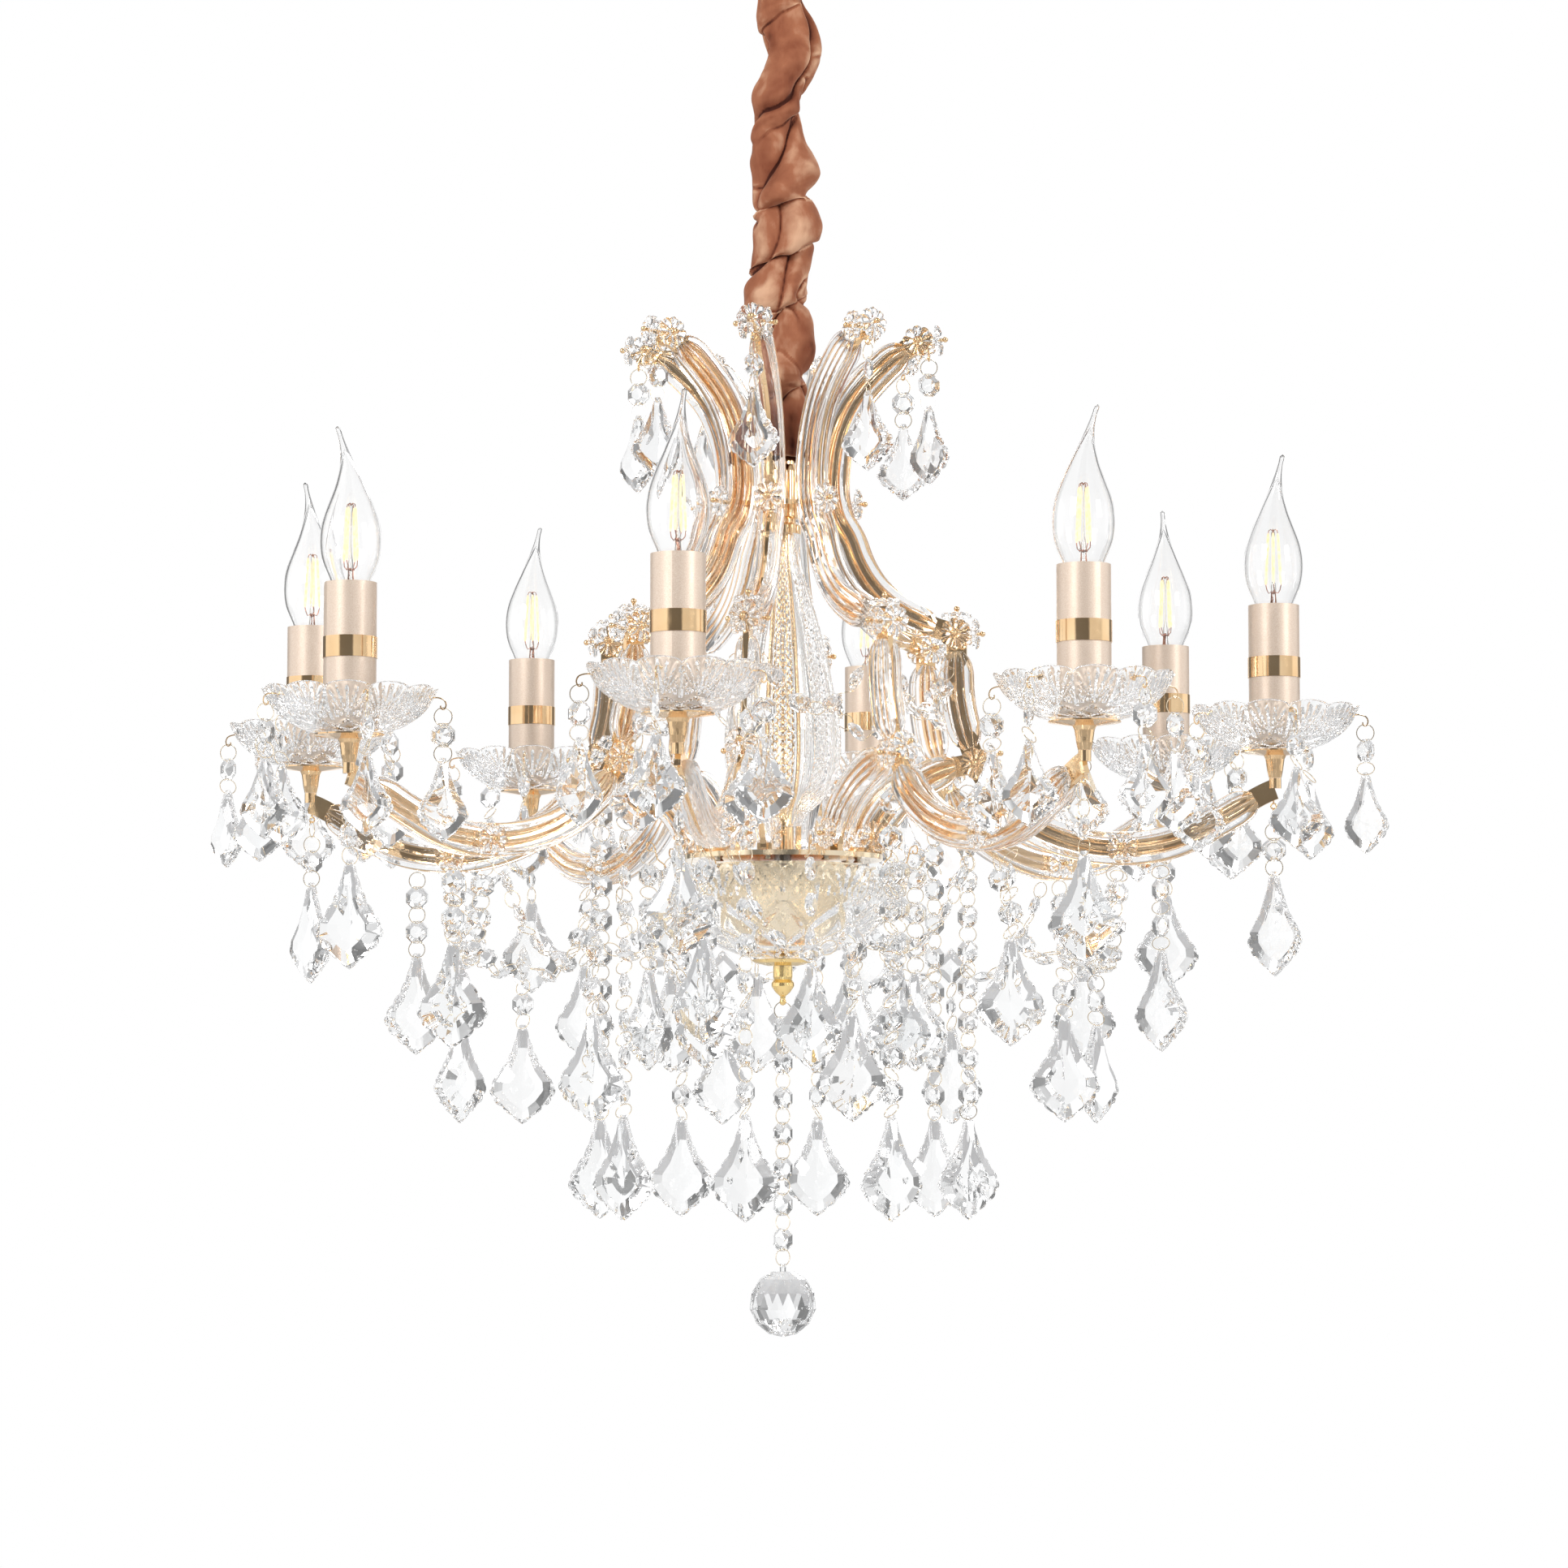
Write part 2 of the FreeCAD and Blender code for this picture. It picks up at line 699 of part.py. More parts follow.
def arm_shape():
    thick = mm("strip_thick")
    width = mm("strip_width")
    back = -thick / 2
    pieces = [
        plate_of(strip_face(CROWN_LINE, width, 0, 0), thick, back),
        plate_of(strip_face(UPRIGHT_LINE, width, 0, 0), thick, back),
        plate_of(strip_face(INNER_LINE, width, 0, 0), thick, back),
        plate_of(strip_face(OUTER_LINE, width, 0, 0), thick, back)]
    for r, z in (CROWN_TIP, SHOULDER, KNEE):
        pieces.append(Part.makeCylinder(mm("boss_radius"), thick, V(r, back, z), SIDEWAYS))
    foot = Part.makeBox(15, 9, 4, V(foot_radius().value - 13, -4.5, -144.0))
    hole = Part.makeCylinder(1.6, 12, V(foot_radius().value - 9, 0, -150))
    pieces.append(foot.cut(hole))
    nozzle = mm("pan_top") - 16.2
    pieces.append(Part.makeCylinder(3.6, 6, V(mm("lamp_circle_radius"), 0, nozzle - 6)))
    pieces.append(hanging_eye(*CROWN_EYE, OUTWARD))
    pieces.append(hanging_eye(*KNEE_EYE, OUTWARD))
    pieces.append(hanging_eye(*LAMP_EYE, SIDEWAYS))
    solid = pieces[0].multiFuse(pieces[1:]).removeSplitter()
    return solid.Solids[0]


def arms():
    shape = arm_shape()
    for i, angle in enumerate(arm_angles(), 1):
        feature("arm_%d" % i, shape.copy(), mm("candle_plane"), angle)


def glass_bars():
    """Clear moulded bars on both flat sides of every arm, stopping short of each rosette."""
    width, thick = mm("bar_width"), mm("bar_thick")
    near = mm("strip_thick") / 2 + mm("fit_gap")
    shapes = []
    for line, start, end in ((CROWN_LINE, 9.5, NODE_GAP + 3), (UPRIGHT_LINE, NODE_GAP, NODE_GAP),
                             (INNER_LINE, NODE_GAP + 2, 4.5), (OUTER_LINE, NODE_GAP, 13)):
        face = strip_face(line, width, start, end)
        shapes.append(plate_of(face, thick, near))
        shapes.append(plate_of(face, thick, -near - thick))
    group("arm_glass_bars", around_arms(shapes), mm("candle_plane"))


def rosette(at, facing):
    """A glass flower: a domed disc with a hole for its pin."""
    radius, thick = mm("rosette_radius"), mm("rosette_thick")
    disc = Part.makeCylinder(radius, thick * 0.6, V(0, 0, 0))
    dome = Part.makeCone(radius, radius * 0.6, thick * 0.4, V(0, 0, thick * 0.6))
    hole = Part.makeCylinder(mm("pin_radius") + 0.3, thick + 2, V(0, 0, -1))
    shape = disc.fuse(dome).removeSplitter().cut(hole)
    shape.Placement = FreeCAD.Placement(at, FreeCAD.Rotation(UP, facing))
    return shape


def rosette_pin(at, facing):
    length = mm("rosette_thick") + 1.2
    shank = Part.makeCylinder(mm("pin_radius"), length, V(0, 0, 0.1))
    head = Part.makeSphere(mm("pin_radius") * 1.7, V(0, 0, length + 0.9))
    shape = shank.fuse(head)
    shape.Placement = FreeCAD.Placement(at, FreeCAD.Rotation(UP, facing))
    return shape


def rosette_places():
    """Where the rosettes of one arm stand and which way each one faces."""
    stack = mm("strip_thick") / 2 + mm("bar_thick") + 2 * mm("fit_gap")
    places = []
    for r, z in (CROWN_TIP, SHOULDER, KNEE, LOW_POINT, HUB_END):
        for side in (1, -1):
            places.append((V(r, side * stack, z), V(0, side, 0)))
    places.append((V(WAIST[0], 0, WAIST[1]), OUTWARD))
    for (r, z), facing in ((CROWN_TIP, V(1, 0, 0.1)), (SHOULDER, OUTWARD), (SHOULDER, UP),
                           (KNEE, V(0.91, 0, 0.41))):
        places.append((V(r, 0, z) + facing * ROSETTE_REACH, facing))
    return places


def rosettes():
    glass, pins = [], []
    for at, facing in rosette_places():
        glass.append(rosette(at, facing))
        pins.append(rosette_pin(at, facing))
    group("rosettes", around_arms(glass), mm("candle_plane"))
    group("rosette_pins", around_arms(pins), mm("candle_plane"))


# ---------------------------------------------------------------- lamps

def turned_solid(corners):
    points = [V(r, 0, z) for r, z in corners]
    face = Part.Face(Part.makePolygon(points + [points[0]]))
    return face.revolve(V(0, 0, 0), UP, 360)


def drip_pans():
    radius, top = mm("pan_radius"), mm("pan_top")
    shape = turned_solid([
        (0, top + 3.5), (5, top + 3.5), (5, top - 0.1), (radius, top - 0.1), (radius, top - 0.9),
        (radius * 0.75, top - 1.6), (6.6, top - 2.8), (5.6, top - 5), (4.6, top - 12),
        (3.7, top - 16), (0, top - 16)])
    group("drip_pans", at_lamps(shape), mm("candle_plane"))


def bobeches():
    """Cut glass dishes under the candles."""
    radius, foot, wall = mm("bobeche_radius"), mm("pan_top"), mm("bobeche_wall")
    rim = foot + mm("bobeche_height")
    outside = [(5.3, foot + 0.5), (14, foot + 0.5), (22, foot + 1.4), (33, foot + 6),
               (44, foot + 15), (radius, rim)]
    inside = [(5.3, foot + wall), (14, foot + wall), (21, foot + wall + 0.5),
              (31.5, foot + wall + 5.5), (41.5, foot + 16.5), (radius - 2.6, rim)]
    group("bobeches", at_lamps(shell_of_revolution(outside, inside)), mm("candle_plane"))


def candle_foot():
    return mm("pan_top") + mm("bobeche_wall") + 0.3


def tube_shape(outer, inner, foot, top):
    return Part.makeCylinder(outer, top - foot, V(0, 0, foot)).cut(
        Part.makeCylinder(inner, top - foot, V(0, 0, foot)))


def candles():
    foot, radius = candle_foot(), mm("sleeve_radius")
    sleeve = tube_shape(radius, radius - mm("sleeve_wall"), foot, 0)
    group("candle_sleeves", at_lamps(sleeve), mm("candle_plane"))
    top = -mm("band_drop")
    band = tube_shape(radius + 0.5, radius + 0.05, top - mm("band_height"), top)
    group("sleeve_bands", at_lamps(band), mm("candle_plane"))
    holder = Part.makeCylinder(mm("holder_radius"), 62, V(0, 0, foot)).cut(
        Part.makeCylinder(8, 62, V(0, 0, foot + 31)))
    group("lampholders", at_lamps(holder), mm("candle_plane"))


def bulbs():
    """Clear flame-shaped bulbs: a glass envelope, a screw cap and a filament stem."""
    wide, tall, wall = mm("bulb_radius"), mm("bulb_height"), mm("bulb_wall")
    outside = [(6.8, -22), (7.4, -12), (11.8, 2), (wide * 0.96, 15), (wide, 24),
               (wide * 0.9, 36), (wide * 0.6, 50), (wide * 0.31, 63), (wide * 0.14, 74),
               (wide * 0.08, 83), (0, tall)]
    inside = [(r - wall, z) for r, z in outside[:-3]] + [(0.9, 72), (0, 77)]
    glass = shell_of_revolution(outside, inside)
    group("bulb_glass", at_lamps(glass), mm("candle_plane"))
    cap = Part.makeCylinder(mm("cap_radius"), 22, V(0, 0, -44.3)).fuse(
        Part.makeCone(2.5, mm("cap_radius"), 2.6, V(0, 0, -46.9)))
    group("bulb_caps", at_lamps(cap), mm("candle_plane"))
    stem = Part.makeCone(4.2, 1.6, 36, V(0, 0, -22.1))
    stem = stem.fuse(Part.makeCylinder(0.9, 32, V(0, 0, 13)))
    for i in range(4):
        outward = V(math.cos(math.radians(45 + 90 * i)), math.sin(math.radians(45 + 90 * i)), 0)
        lower, upper = outward * 4.5 + UP * 12, outward * 2.8 + UP * 43.5
        spine_foot, spine_top = UP * 11.5, UP * 43.3
        stem = stem.fuse([
            Part.makeCylinder(0.7, (upper - lower).Length, lower, upper - lower),
            Part.makeCylinder(0.45, 4.5, spine_foot, lower - spine_foot),
            Part.makeCylinder(0.45, 3.2, spine_top, outward)])
    group("filament_stems", at_lamps(stem), mm("candle_plane"))


# ---------------------------------------------------------------- crystals
# A crystal faces +X, with +Z up its hanging direction and the origin at its centre or top hole.

def faceted(outline, half_thick, table):
    """A cut stone: an outline in YZ drawn in to a flat table in front and behind."""
    middle_y = sum(y for y, z in outline) / len(outline)
    middle_z = sum(z for y, z in outline) / len(outline)

    def loop(x, share):
        return [V(x, middle_y + (y - middle_y) * share, middle_z + (z - middle_z) * share)
                for y, z in outline]

    loops = [loop(-half_thick, table), loop(0, 1), loop(half_thick, table)]
    faces = []
    for lower, upper in zip(loops, loops[1:]):
        for i in range(len(outline)):
            j = (i + 1) % len(outline)
            corners = [lower[i], lower[j], upper[j], upper[i], lower[i]]
            faces.append(Part.Face(Part.makePolygon(corners)))
    for ring in (loops[0], loops[-1]):
        faces.append(Part.Face(Part.makePolygon(ring + [ring[0]])))
    return Part.Solid(Part.Shell(faces))


def drilled(stone, holes):
    for y, z in holes:
        tool = Part.makeCylinder(mm("bead_hole_radius"), 30, V(-15, y, z), OUTWARD)
        stone = stone.cut(tool)
    return stone.Solids[0]


def bead():
    """The octagon: a hole at its top and one at its foot."""
    radius = mm("bead_radius")
    angles = [math.radians(22.5 + 45 * i) for i in range(8)]
    outline = [(radius * math.cos(a), radius * math.sin(a)) for a in angles]
    reach = mm("bead_hole_reach")
    return drilled(faceted(outline, mm("bead_thick") / 2, 0.5), [(0, reach), (0, -reach)])


def rhombus():
    reach = mm("rhombus_reach")
    outline = [(reach, 0), (0, reach), (-reach, 0), (0, -reach)]
    hole = reach - 3.2
    return drilled(faceted(outline, 3.6, 0.4), [(hole, 0), (-hole, 0), (0, hole), (0, -hole)])


def drop(height, width):
    """A pendalogue: narrow neck, wide low belly and a point, hung from a hole at its top."""
    shares = [(0.10, 1.0), (0.20, 0.90), (0.52, 0.62), (1.0, 0.36), (0.90, 0.24), (0.42, 0.08)]
    right = [(width / 2 * w, height * (share - 1) + 2.8) for w, share in shares]
    left = [(-y, z) for y, z in reversed(right)]
    outline = right + [(0, 2.8 - height)] + left
    return drilled(faceted(outline, mm("drop_thick") / 2, 0.42), [(0, 0)])


def ring_between(upper, lower, facing):
    """A wire ring through two holes, both of whose axes lie along facing."""
    radius = (upper - lower).Length / 2
    across = facing.cross(upper - lower)
    return Part.makeTorus(radius, mm("ring_wire_radius"), (upper + lower) / 2, across)


def put(stone, centre, facing, upward):
    """Turns a crystal so that +X looks along facing and +Z along upward, and moves it."""
    turn = FreeCAD.Rotation(facing, upward.cross(facing) * -1, upward, "XZY")
    copy = stone.copy()
    copy.Placement = FreeCAD.Placement(centre, turn)
    return copy


STONES = {}
RING_PLAY = 0.35
RING_DROP = 0.2


def hanging_string(top, facing, beads, drop_name):
    """Beads and a drop on rings straight below a wire at top. Returns the solids."""
    solids = []
    ring, reach = mm("ring_radius"), mm("bead_hole_reach")
    hole = top - UP * RING_DROP
    for i in range(beads + 1):
        below = hole - UP * (2 * ring)
        solids.append(ring_between(hole, below, facing))
        if i < beads:
            solids.append(put(STONES["bead"], below - UP * reach, facing, UP))
            hole = below - UP * (2 * reach)
        else:
            solids.append(put(STONES[drop_name], below, facing, UP))
    return solids


def ring_top(pivot):
    """The ring's own wire centre where it passes under an eye's wire, a little clear of it."""
    return V(pivot[0], 0, pivot[1] + mm("ring_wire_radius") + EYE_WIRE + RING_PLAY)


def sagging_points(start, end, sag, pieces):
    """Hole points from start along a parabola, with the straight lengths given by pieces."""
    chord = end - start

    def spot(share):
        return start + chord * share - UP * (4 * sag * share * (1 - share))

    points, share = [start], 0.0
    for length in pieces:
        low, high = share, share + 1.0
        for _ in range(40):
            middle = (low + high) / 2
            if (spot(middle) - points[-1]).Length < length:
                low = middle
            else:
                high = middle
        share = low
        points.append(spot(share))
    return points, share


def garland(start, end, beads, facing):
    """Beads on rings that sag between two points, both ends on a ring."""
    ring, reach = 2 * mm("ring_radius"), 2 * mm("bead_hole_reach")
    pieces = [ring] + [reach, ring] * beads
    low, high = 0.0, 90.0
    for _ in range(40):
        sag = (low + high) / 2
        points, share = sagging_points(start, end, sag, pieces)
        if share > 1.0:
            low = sag
        else:
            high = sag
    solids = []
    for i, (a, b) in enumerate(zip(points, points[1:])):
        across = facing.cross(b - a)
        flat = (b - a).cross(across).normalize()
        if i % 2 == 0:
            solids.append(ring_between(a, b, flat))
        else:
            solids.append(put(STONES["bead"], (a + b) / 2, flat, (a - b).normalize()))
    return solids


def polar(r, degrees, z):
    a = math.radians(degrees)
    return V(r * math.cos(a), r * math.sin(a), z)


def bobeche_drops():
    """Five short strings round each dish's rim."""
    solids = []
    rim, top = mm("bobeche_radius") - 3.2, mm("pan_top") + mm("bobeche_height") - 11.0
    for angle in arm_angles():
        for i in range(5):
            turn = angle + 72 * i
            centre = polar(mm("lamp_circle_radius"), angle, 0)
            spot = centre + polar(rim + 6.2, turn, top)
            solids += hanging_string(spot, polar(1, turn, 0), 1, "small_drop")
    group("bobeche_drops", solids, mm("candle_plane"))


def bay_garland(angle):
    """Two strings from neighbouring arms to a rhombus, with a bead and a drop below it."""
    solids = []
    reach = mm("rhombus_reach") - 3.2
    middle, outward = angle + 22.5, polar(1, angle + 22.5, 0)
    along = UP.cross(outward)
    centre = polar(194, middle, -205)
    solids.append(put(STONES["rhombus"], centre, outward, UP))
    for side, arm in ((-1, angle), (1, angle + 45)):
        start = polar(LOW_POINT[0], arm, LOW_POINT[1] - 11) - along * side * 8.6
        solids += garland(start, centre + along * side * reach, 4, outward)
    foot = centre - UP * (reach - 0.2)
    solids += hanging_string(foot, outward, 1, "large_drop")
    return solids


def lamp_string():
    """Two linked rings, a bead and a drop under the end of an arm that points along +X."""
    wire = mm("ring_wire_radius")
    top = ring_top(eye_pivot(LAMP_EYE)) - UP * RING_DROP
    foot = top - UP * (2 * mm("ring_radius"))
    second = foot + UP * (2 * wire + RING_PLAY)
    return [ring_between(top, foot, SIDEWAYS)] + hanging_string(second, OUTWARD, 1, "large_drop")


def garlands():
    solids = around_arms(lamp_string())
    for angle in arm_angles():
        outward = polar(1, angle, 0)
        solids += bay_garland(angle)
        low = polar(LOW_POINT[0] + 22, angle, LOW_POINT[1] - 9.0)
        solids += hanging_string(low, outward, 2, "large_drop")
        middle = polar(1, angle + 22.5, 0)
        rim = polar(mm("bowl_radius") + 6.5, angle + 22.5, -141)
        solids += hanging_string(rim, middle, 3, "large_drop")
        start = polar(SHOULDER[0] - 4, angle, SHOULDER[1] - 20) + UP.cross(outward) * 8
        next_out = polar(1, angle + 45, 0)
        end = polar(SHOULDER[0] - 4, angle + 45, SHOULDER[1] - 20) - UP.cross(next_out) * 8
        solids += garland(start, end, 4, middle)
    group("garlands", solids, mm("candle_plane"))


def crown_drops():
    top = ring_top(eye_pivot(CROWN_EYE))
    string = Part.makeCompound(hanging_string(top, OUTWARD, 1, "small_drop"))
    for i, angle in enumerate(arm_angles(), 1):
        feature("crown_drop_%d" % i, string.copy(), mm("candle_plane"), angle)


def knee_strands():
    top = ring_top(eye_pivot(KNEE_EYE))
    string = Part.makeCompound(hanging_string(top, OUTWARD, 9, "large_drop"))
    for i, angle in enumerate(arm_angles(), 1):
        feature("knee_strand_%d" % i, string.copy(), mm("candle_plane"), angle)


def centre_strand():
    """Seven beads below the finial, and the faceted ball on the last ring."""
    top = V(0, 0, mm("finial_tip") + 2.2 + 0.2)
    solids = hanging_string(top, OUTWARD, 7, "large_drop")[:-1]
    group("ball_strand", solids, mm("candle_plane"))
    last = top.z - 0.2 - 8 * 2 * mm("ring_radius") - 7 * 2 * mm("bead_hole_reach")
    feature("crystal_ball", cut_ball(), mm("candle_plane") + last)


def cut_ball():
    """A ball of flat facets in staggered rows, hung from a hole in its narrow top."""
    radius, sides = mm("ball_radius"), 16
    centre = -radius - 2.0
    loops = []
    for row, latitude in enumerate((-66, -38, -10, 18, 46, 70)):
        reach = radius * math.cos(math.radians(latitude))
        height = centre + radius * math.sin(math.radians(latitude))
        turns = [360 * (i + row % 2 / 2) / sides for i in range(sides)]
        loops.append([polar(reach, turn, height) for turn in turns])
    foot = V(0, 0, centre - radius)

    def triangle(a, b, c):
        return Part.Face(Part.makePolygon([a, b, c, a]))

    faces = [Part.Face(Part.makePolygon(loops[-1] + [loops[-1][0]]))]
    for i in range(sides):
        j = (i + 1) % sides
        faces.append(triangle(loops[0][i], loops[0][j], foot))
        for row, (lower, upper) in enumerate(zip(loops, loops[1:])):
            if row % 2 == 0:
                faces.append(triangle(lower[i], lower[j], upper[i]))
                faces.append(triangle(upper[i], lower[j], upper[j]))
            else:
                faces.append(triangle(lower[i], upper[j], upper[i]))
                faces.append(triangle(lower[i], lower[j], upper[j]))
    ball = Part.Solid(Part.Shell(faces))
    neck = Part.makeCylinder(1.9, 5.2, V(0, 0, -4))
    hole = Part.makeCylinder(mm("bead_hole_radius"), 10, V(-5, 0, 0), OUTWARD)
    return ball.fuse(neck).cut(hole).Solids[0]


# ---------------------------------------------------------------- whole light

def build():
    fill_sheet()
    for make in (ceiling_bracket, ceiling_hook, canopy, canopy_ring, terminal_block, chain,
                 velvet_sleeve, top_loop, crown_hub, centre_rod, crown_plate, arm_plate,
                 core_tube, glass_vase, lower_spindle, inner_dish, glass_bowl, bowl_washer,
                 finial, fixing_screws, arms, glass_bars, rosettes, drip_pans, bobeches,
                 candles, bulbs):
        make()
    STONES["bead"] = bead()
    STONES["rhombus"] = rhombus()
    STONES["small_drop"] = drop(mm("small_drop_height"), mm("small_drop_width"))
    STONES["large_drop"] = drop(mm("large_drop_height"), mm("large_drop_width"))
    for make in (bobeche_drops, garlands, crown_drops, knee_strands, centre_strand):
        make()
    doc.recompute()


def check():
    for thing in doc.Objects:
        if "Invalid" in thing.State or "Error" in thing.State:
            raise RuntimeError("%s did not build: %s" % (thing.Label, thing.State))
    for label, thing in PARTS.items():
        shape = thing.Shape
        if shape.isNull() or not shape.isValid() or not shape.Solids:
            raise RuntimeError("%s has no valid shape" % label)


def export():
    os.makedirs("parts", exist_ok=True)
    for label, thing in PARTS.items():
        thing.Shape.exportStep("parts/%s.step" % label)


build()
check()
export()
print("wrote %d nodes" % len(PARTS))
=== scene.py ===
import json
import math

import bpy
import numpy as np
from mathutils import Matrix, Vector, noise


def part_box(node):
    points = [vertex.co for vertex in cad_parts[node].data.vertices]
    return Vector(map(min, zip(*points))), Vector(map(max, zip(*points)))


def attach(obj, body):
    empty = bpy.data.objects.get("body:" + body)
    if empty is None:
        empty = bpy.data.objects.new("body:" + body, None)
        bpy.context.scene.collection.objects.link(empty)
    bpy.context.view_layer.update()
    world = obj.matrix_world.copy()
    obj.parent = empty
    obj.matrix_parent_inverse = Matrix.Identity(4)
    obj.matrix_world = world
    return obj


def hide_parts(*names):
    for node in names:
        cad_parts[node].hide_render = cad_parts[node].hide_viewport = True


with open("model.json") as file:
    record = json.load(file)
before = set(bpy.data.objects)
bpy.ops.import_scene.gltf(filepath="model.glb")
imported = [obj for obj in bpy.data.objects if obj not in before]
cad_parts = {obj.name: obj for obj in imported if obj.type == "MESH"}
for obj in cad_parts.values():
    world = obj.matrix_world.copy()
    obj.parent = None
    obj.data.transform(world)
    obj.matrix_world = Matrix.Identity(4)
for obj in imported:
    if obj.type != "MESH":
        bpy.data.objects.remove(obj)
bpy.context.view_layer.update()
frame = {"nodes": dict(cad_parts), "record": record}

# An eight-light crystal chandelier. Lengths in the shape functions are millimetres, and MM
# turns them into the frame's metres. Heights of the light are measured from the plane of the
# candle sleeves' tops, and a crystal faces +X with +Z up its hanging direction. The camera,
# the lights and the room are in metres.

MM = 0.001
TAU = 2 * math.pi
ARMS = 8
SCENE = bpy.context.scene
CANDLE_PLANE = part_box("candle_sleeves")[1].z
UP = np.array([0.0, 0.0, 1.0])


# ---- mesh helpers

class Form:
    """A mesh shape: its points and the corner numbers of its faces."""

    def __init__(self, points, faces):
        self.points = np.asarray(points, float).reshape(-1, 3)
        self.faces = [tuple(face) for face in faces]

    def placed(self, matrix):
        matrix = np.asarray(matrix, float)
        points = self.points @ matrix[:3, :3].T + matrix[:3, 3]
        flipped = np.linalg.det(matrix[:3, :3]) < 0
        faces = [face[::-1] for face in self.faces] if flipped else self.faces
        return Form(points, faces)

    def outward(self):
        """The same shape with its faces looking out of the solid."""
        corners = np.array([(f[0], f[i], f[i + 1]) for f in self.faces
                            for i in range(1, len(f) - 1)])
        a, b, c = (self.points[corners[:, i]] for i in range(3))
        if (a * np.cross(b, c)).sum() < 0:
            self.faces = [face[::-1] for face in self.faces]
        return self


def joined(forms):
    points, faces, start = [], [], 0
    for form in forms:
        points.append(form.points)
        faces += [tuple(i + start for i in face) for face in form.faces]
        start += len(form.points)
    return Form(np.concatenate(points), faces)


def as_object(name, form):
    """A plain Blender object in the scene from a shape."""
    mesh = bpy.data.meshes.new(name)
    mesh.from_pydata(form.points.tolist(), [], form.faces)
    made = bpy.data.objects.new(name, mesh)
    SCENE.collection.objects.link(made)
    return made


def piece(name, form, material, body, stands_for=(), smooth=30, facets=None):
    """A Blender object from a shape in metres. smooth is the angle up to which edges shade
    soft, and faces larger than facets, in square millimetres, stay flat."""
    made = as_object(name, form)
    mesh = made.data
    mesh.materials.append(material)
    mesh.shade_smooth()
    mesh.set_sharp_from_angle(angle=math.radians(smooth))
    if facets is not None:
        areas = np.empty(len(mesh.polygons))
        mesh.polygons.foreach_get("area", areas)
        mesh.polygons.foreach_set("use_smooth", areas < facets * MM * MM)
    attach(made, body)
    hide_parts(*stands_for)
    return made


def turned(degrees, at=(0, 0, 0), size=MM):
    """Scales by size, turns about Z and moves to a point in metres."""
    return (Matrix.Translation(Vector(at)) @ Matrix.Rotation(math.radians(degrees), 4, "Z")
            @ Matrix.Scale(size, 4))


def facing_frame(facing, upward, at):
    """Turns +X to facing and +Z to upward, scales from millimetres and moves to at."""
    facing, upward = (v / np.linalg.norm(v) for v in (np.asarray(facing), np.asarray(upward)))
    matrix = np.eye(4)
    matrix[:3, 0] = facing * MM
    matrix[:3, 1] = np.cross(upward, facing) * MM
    matrix[:3, 2] = upward * MM
    matrix[:3, 3] = at
    return matrix


def run_of(line):
    """The distance along a line of points at each of them."""
    return np.concatenate([[0], np.cumsum(np.linalg.norm(np.diff(line, axis=0), axis=1))])


def points_at(line, spots):
    """The points of a line at the given distances along it."""
    along = run_of(line)
    return np.stack([np.interp(spots, along, line[:, i]) for i in range(line.shape[1])], 1)


def even_points(line, count):
    return points_at(line, np.linspace(0, run_of(line)[-1], count))


def headings(line):
    """The unit vectors along a line at each of its points."""
    along = np.gradient(line, axis=0)
    return along / np.linalg.norm(along, axis=1)[:, None]


def smooth_line(points, count):
    """That many evenly spaced points on a smooth curve through the given ones."""
    p = np.asarray(points, float)
    t = run_of(p)
    slope = np.gradient(p, t, axis=0)
    fine = np.linspace(0, t[-1], 40 * len(p))
    k = np.clip(np.searchsorted(t, fine, side="right") - 1, 0, len(t) - 2)
    step = (t[k + 1] - t[k])[:, None]
    u = (fine - t[k])[:, None] / step
    line = ((2 * u**3 - 3 * u**2 + 1) * p[k] + (u**3 - 2 * u**2 + u) * step * slope[k]
            + (3 * u**2 - 2 * u**3) * p[k + 1] + (u**3 - u**2) * step * slope[k + 1])
    return even_points(line, count)


def lathe(profile, steps, shaped=None):
    """Turns a closed (radius, height) profile round Z. shaped may move its points by angle."""
    profile = np.asarray(profile, float)
    rows = len(profile)
    turn = (np.arange(steps) * TAU / steps)[:, None] + np.zeros((1, rows))
    r = profile[None, :, 0] + np.zeros((steps, 1))
    z = profile[None, :, 1] + np.zeros((steps, 1))
    if shaped is not None:
        r, z = shaped(r, z, turn)
    points = np.stack([r * np.cos(turn), r * np.sin(turn), z], -1)
    faces = []
    for i in range(steps):
        here, there = i * rows, (i + 1) % steps * rows
        for j in range(rows):
            k = (j + 1) % rows
            faces.append((here + j, there + j, there + k, here + k))
    return Form(points, faces).outward()


def bar_faces(rows, sides):
    """The faces of a bar given as rows of points: its two ends and the skin between them."""
    count = rows * sides
    faces = [tuple(range(sides)), tuple(range(count - sides, count))[::-1]]
    for a in range(0, count - sides, sides):
        for i in range(sides):
            j = (i + 1) % sides
            faces.append((a + i, a + sides + i, a + sides + j, a + j))
    return faces


def rod(path, radius, sides=6):
    """A round bar along a path of points, closed at both ends."""
    path = np.asarray(path, float)
    along = headings(path)
    guide = np.array([1.0, 0.0, 0.0]) if abs(along[0, 0]) < 0.8 else np.array([0.0, 1.0, 0.0])
    points = []
    for spot, ahead in zip(path, along):
        across = np.cross(ahead, guide)
        across /= np.linalg.norm(across)
        other = np.cross(ahead, across)
        for i in range(sides):
            a = TAU * i / sides
            points.append(spot + radius * (math.cos(a) * across + math.sin(a) * other))
    return Form(points, bar_faces(len(path), sides)).outward()


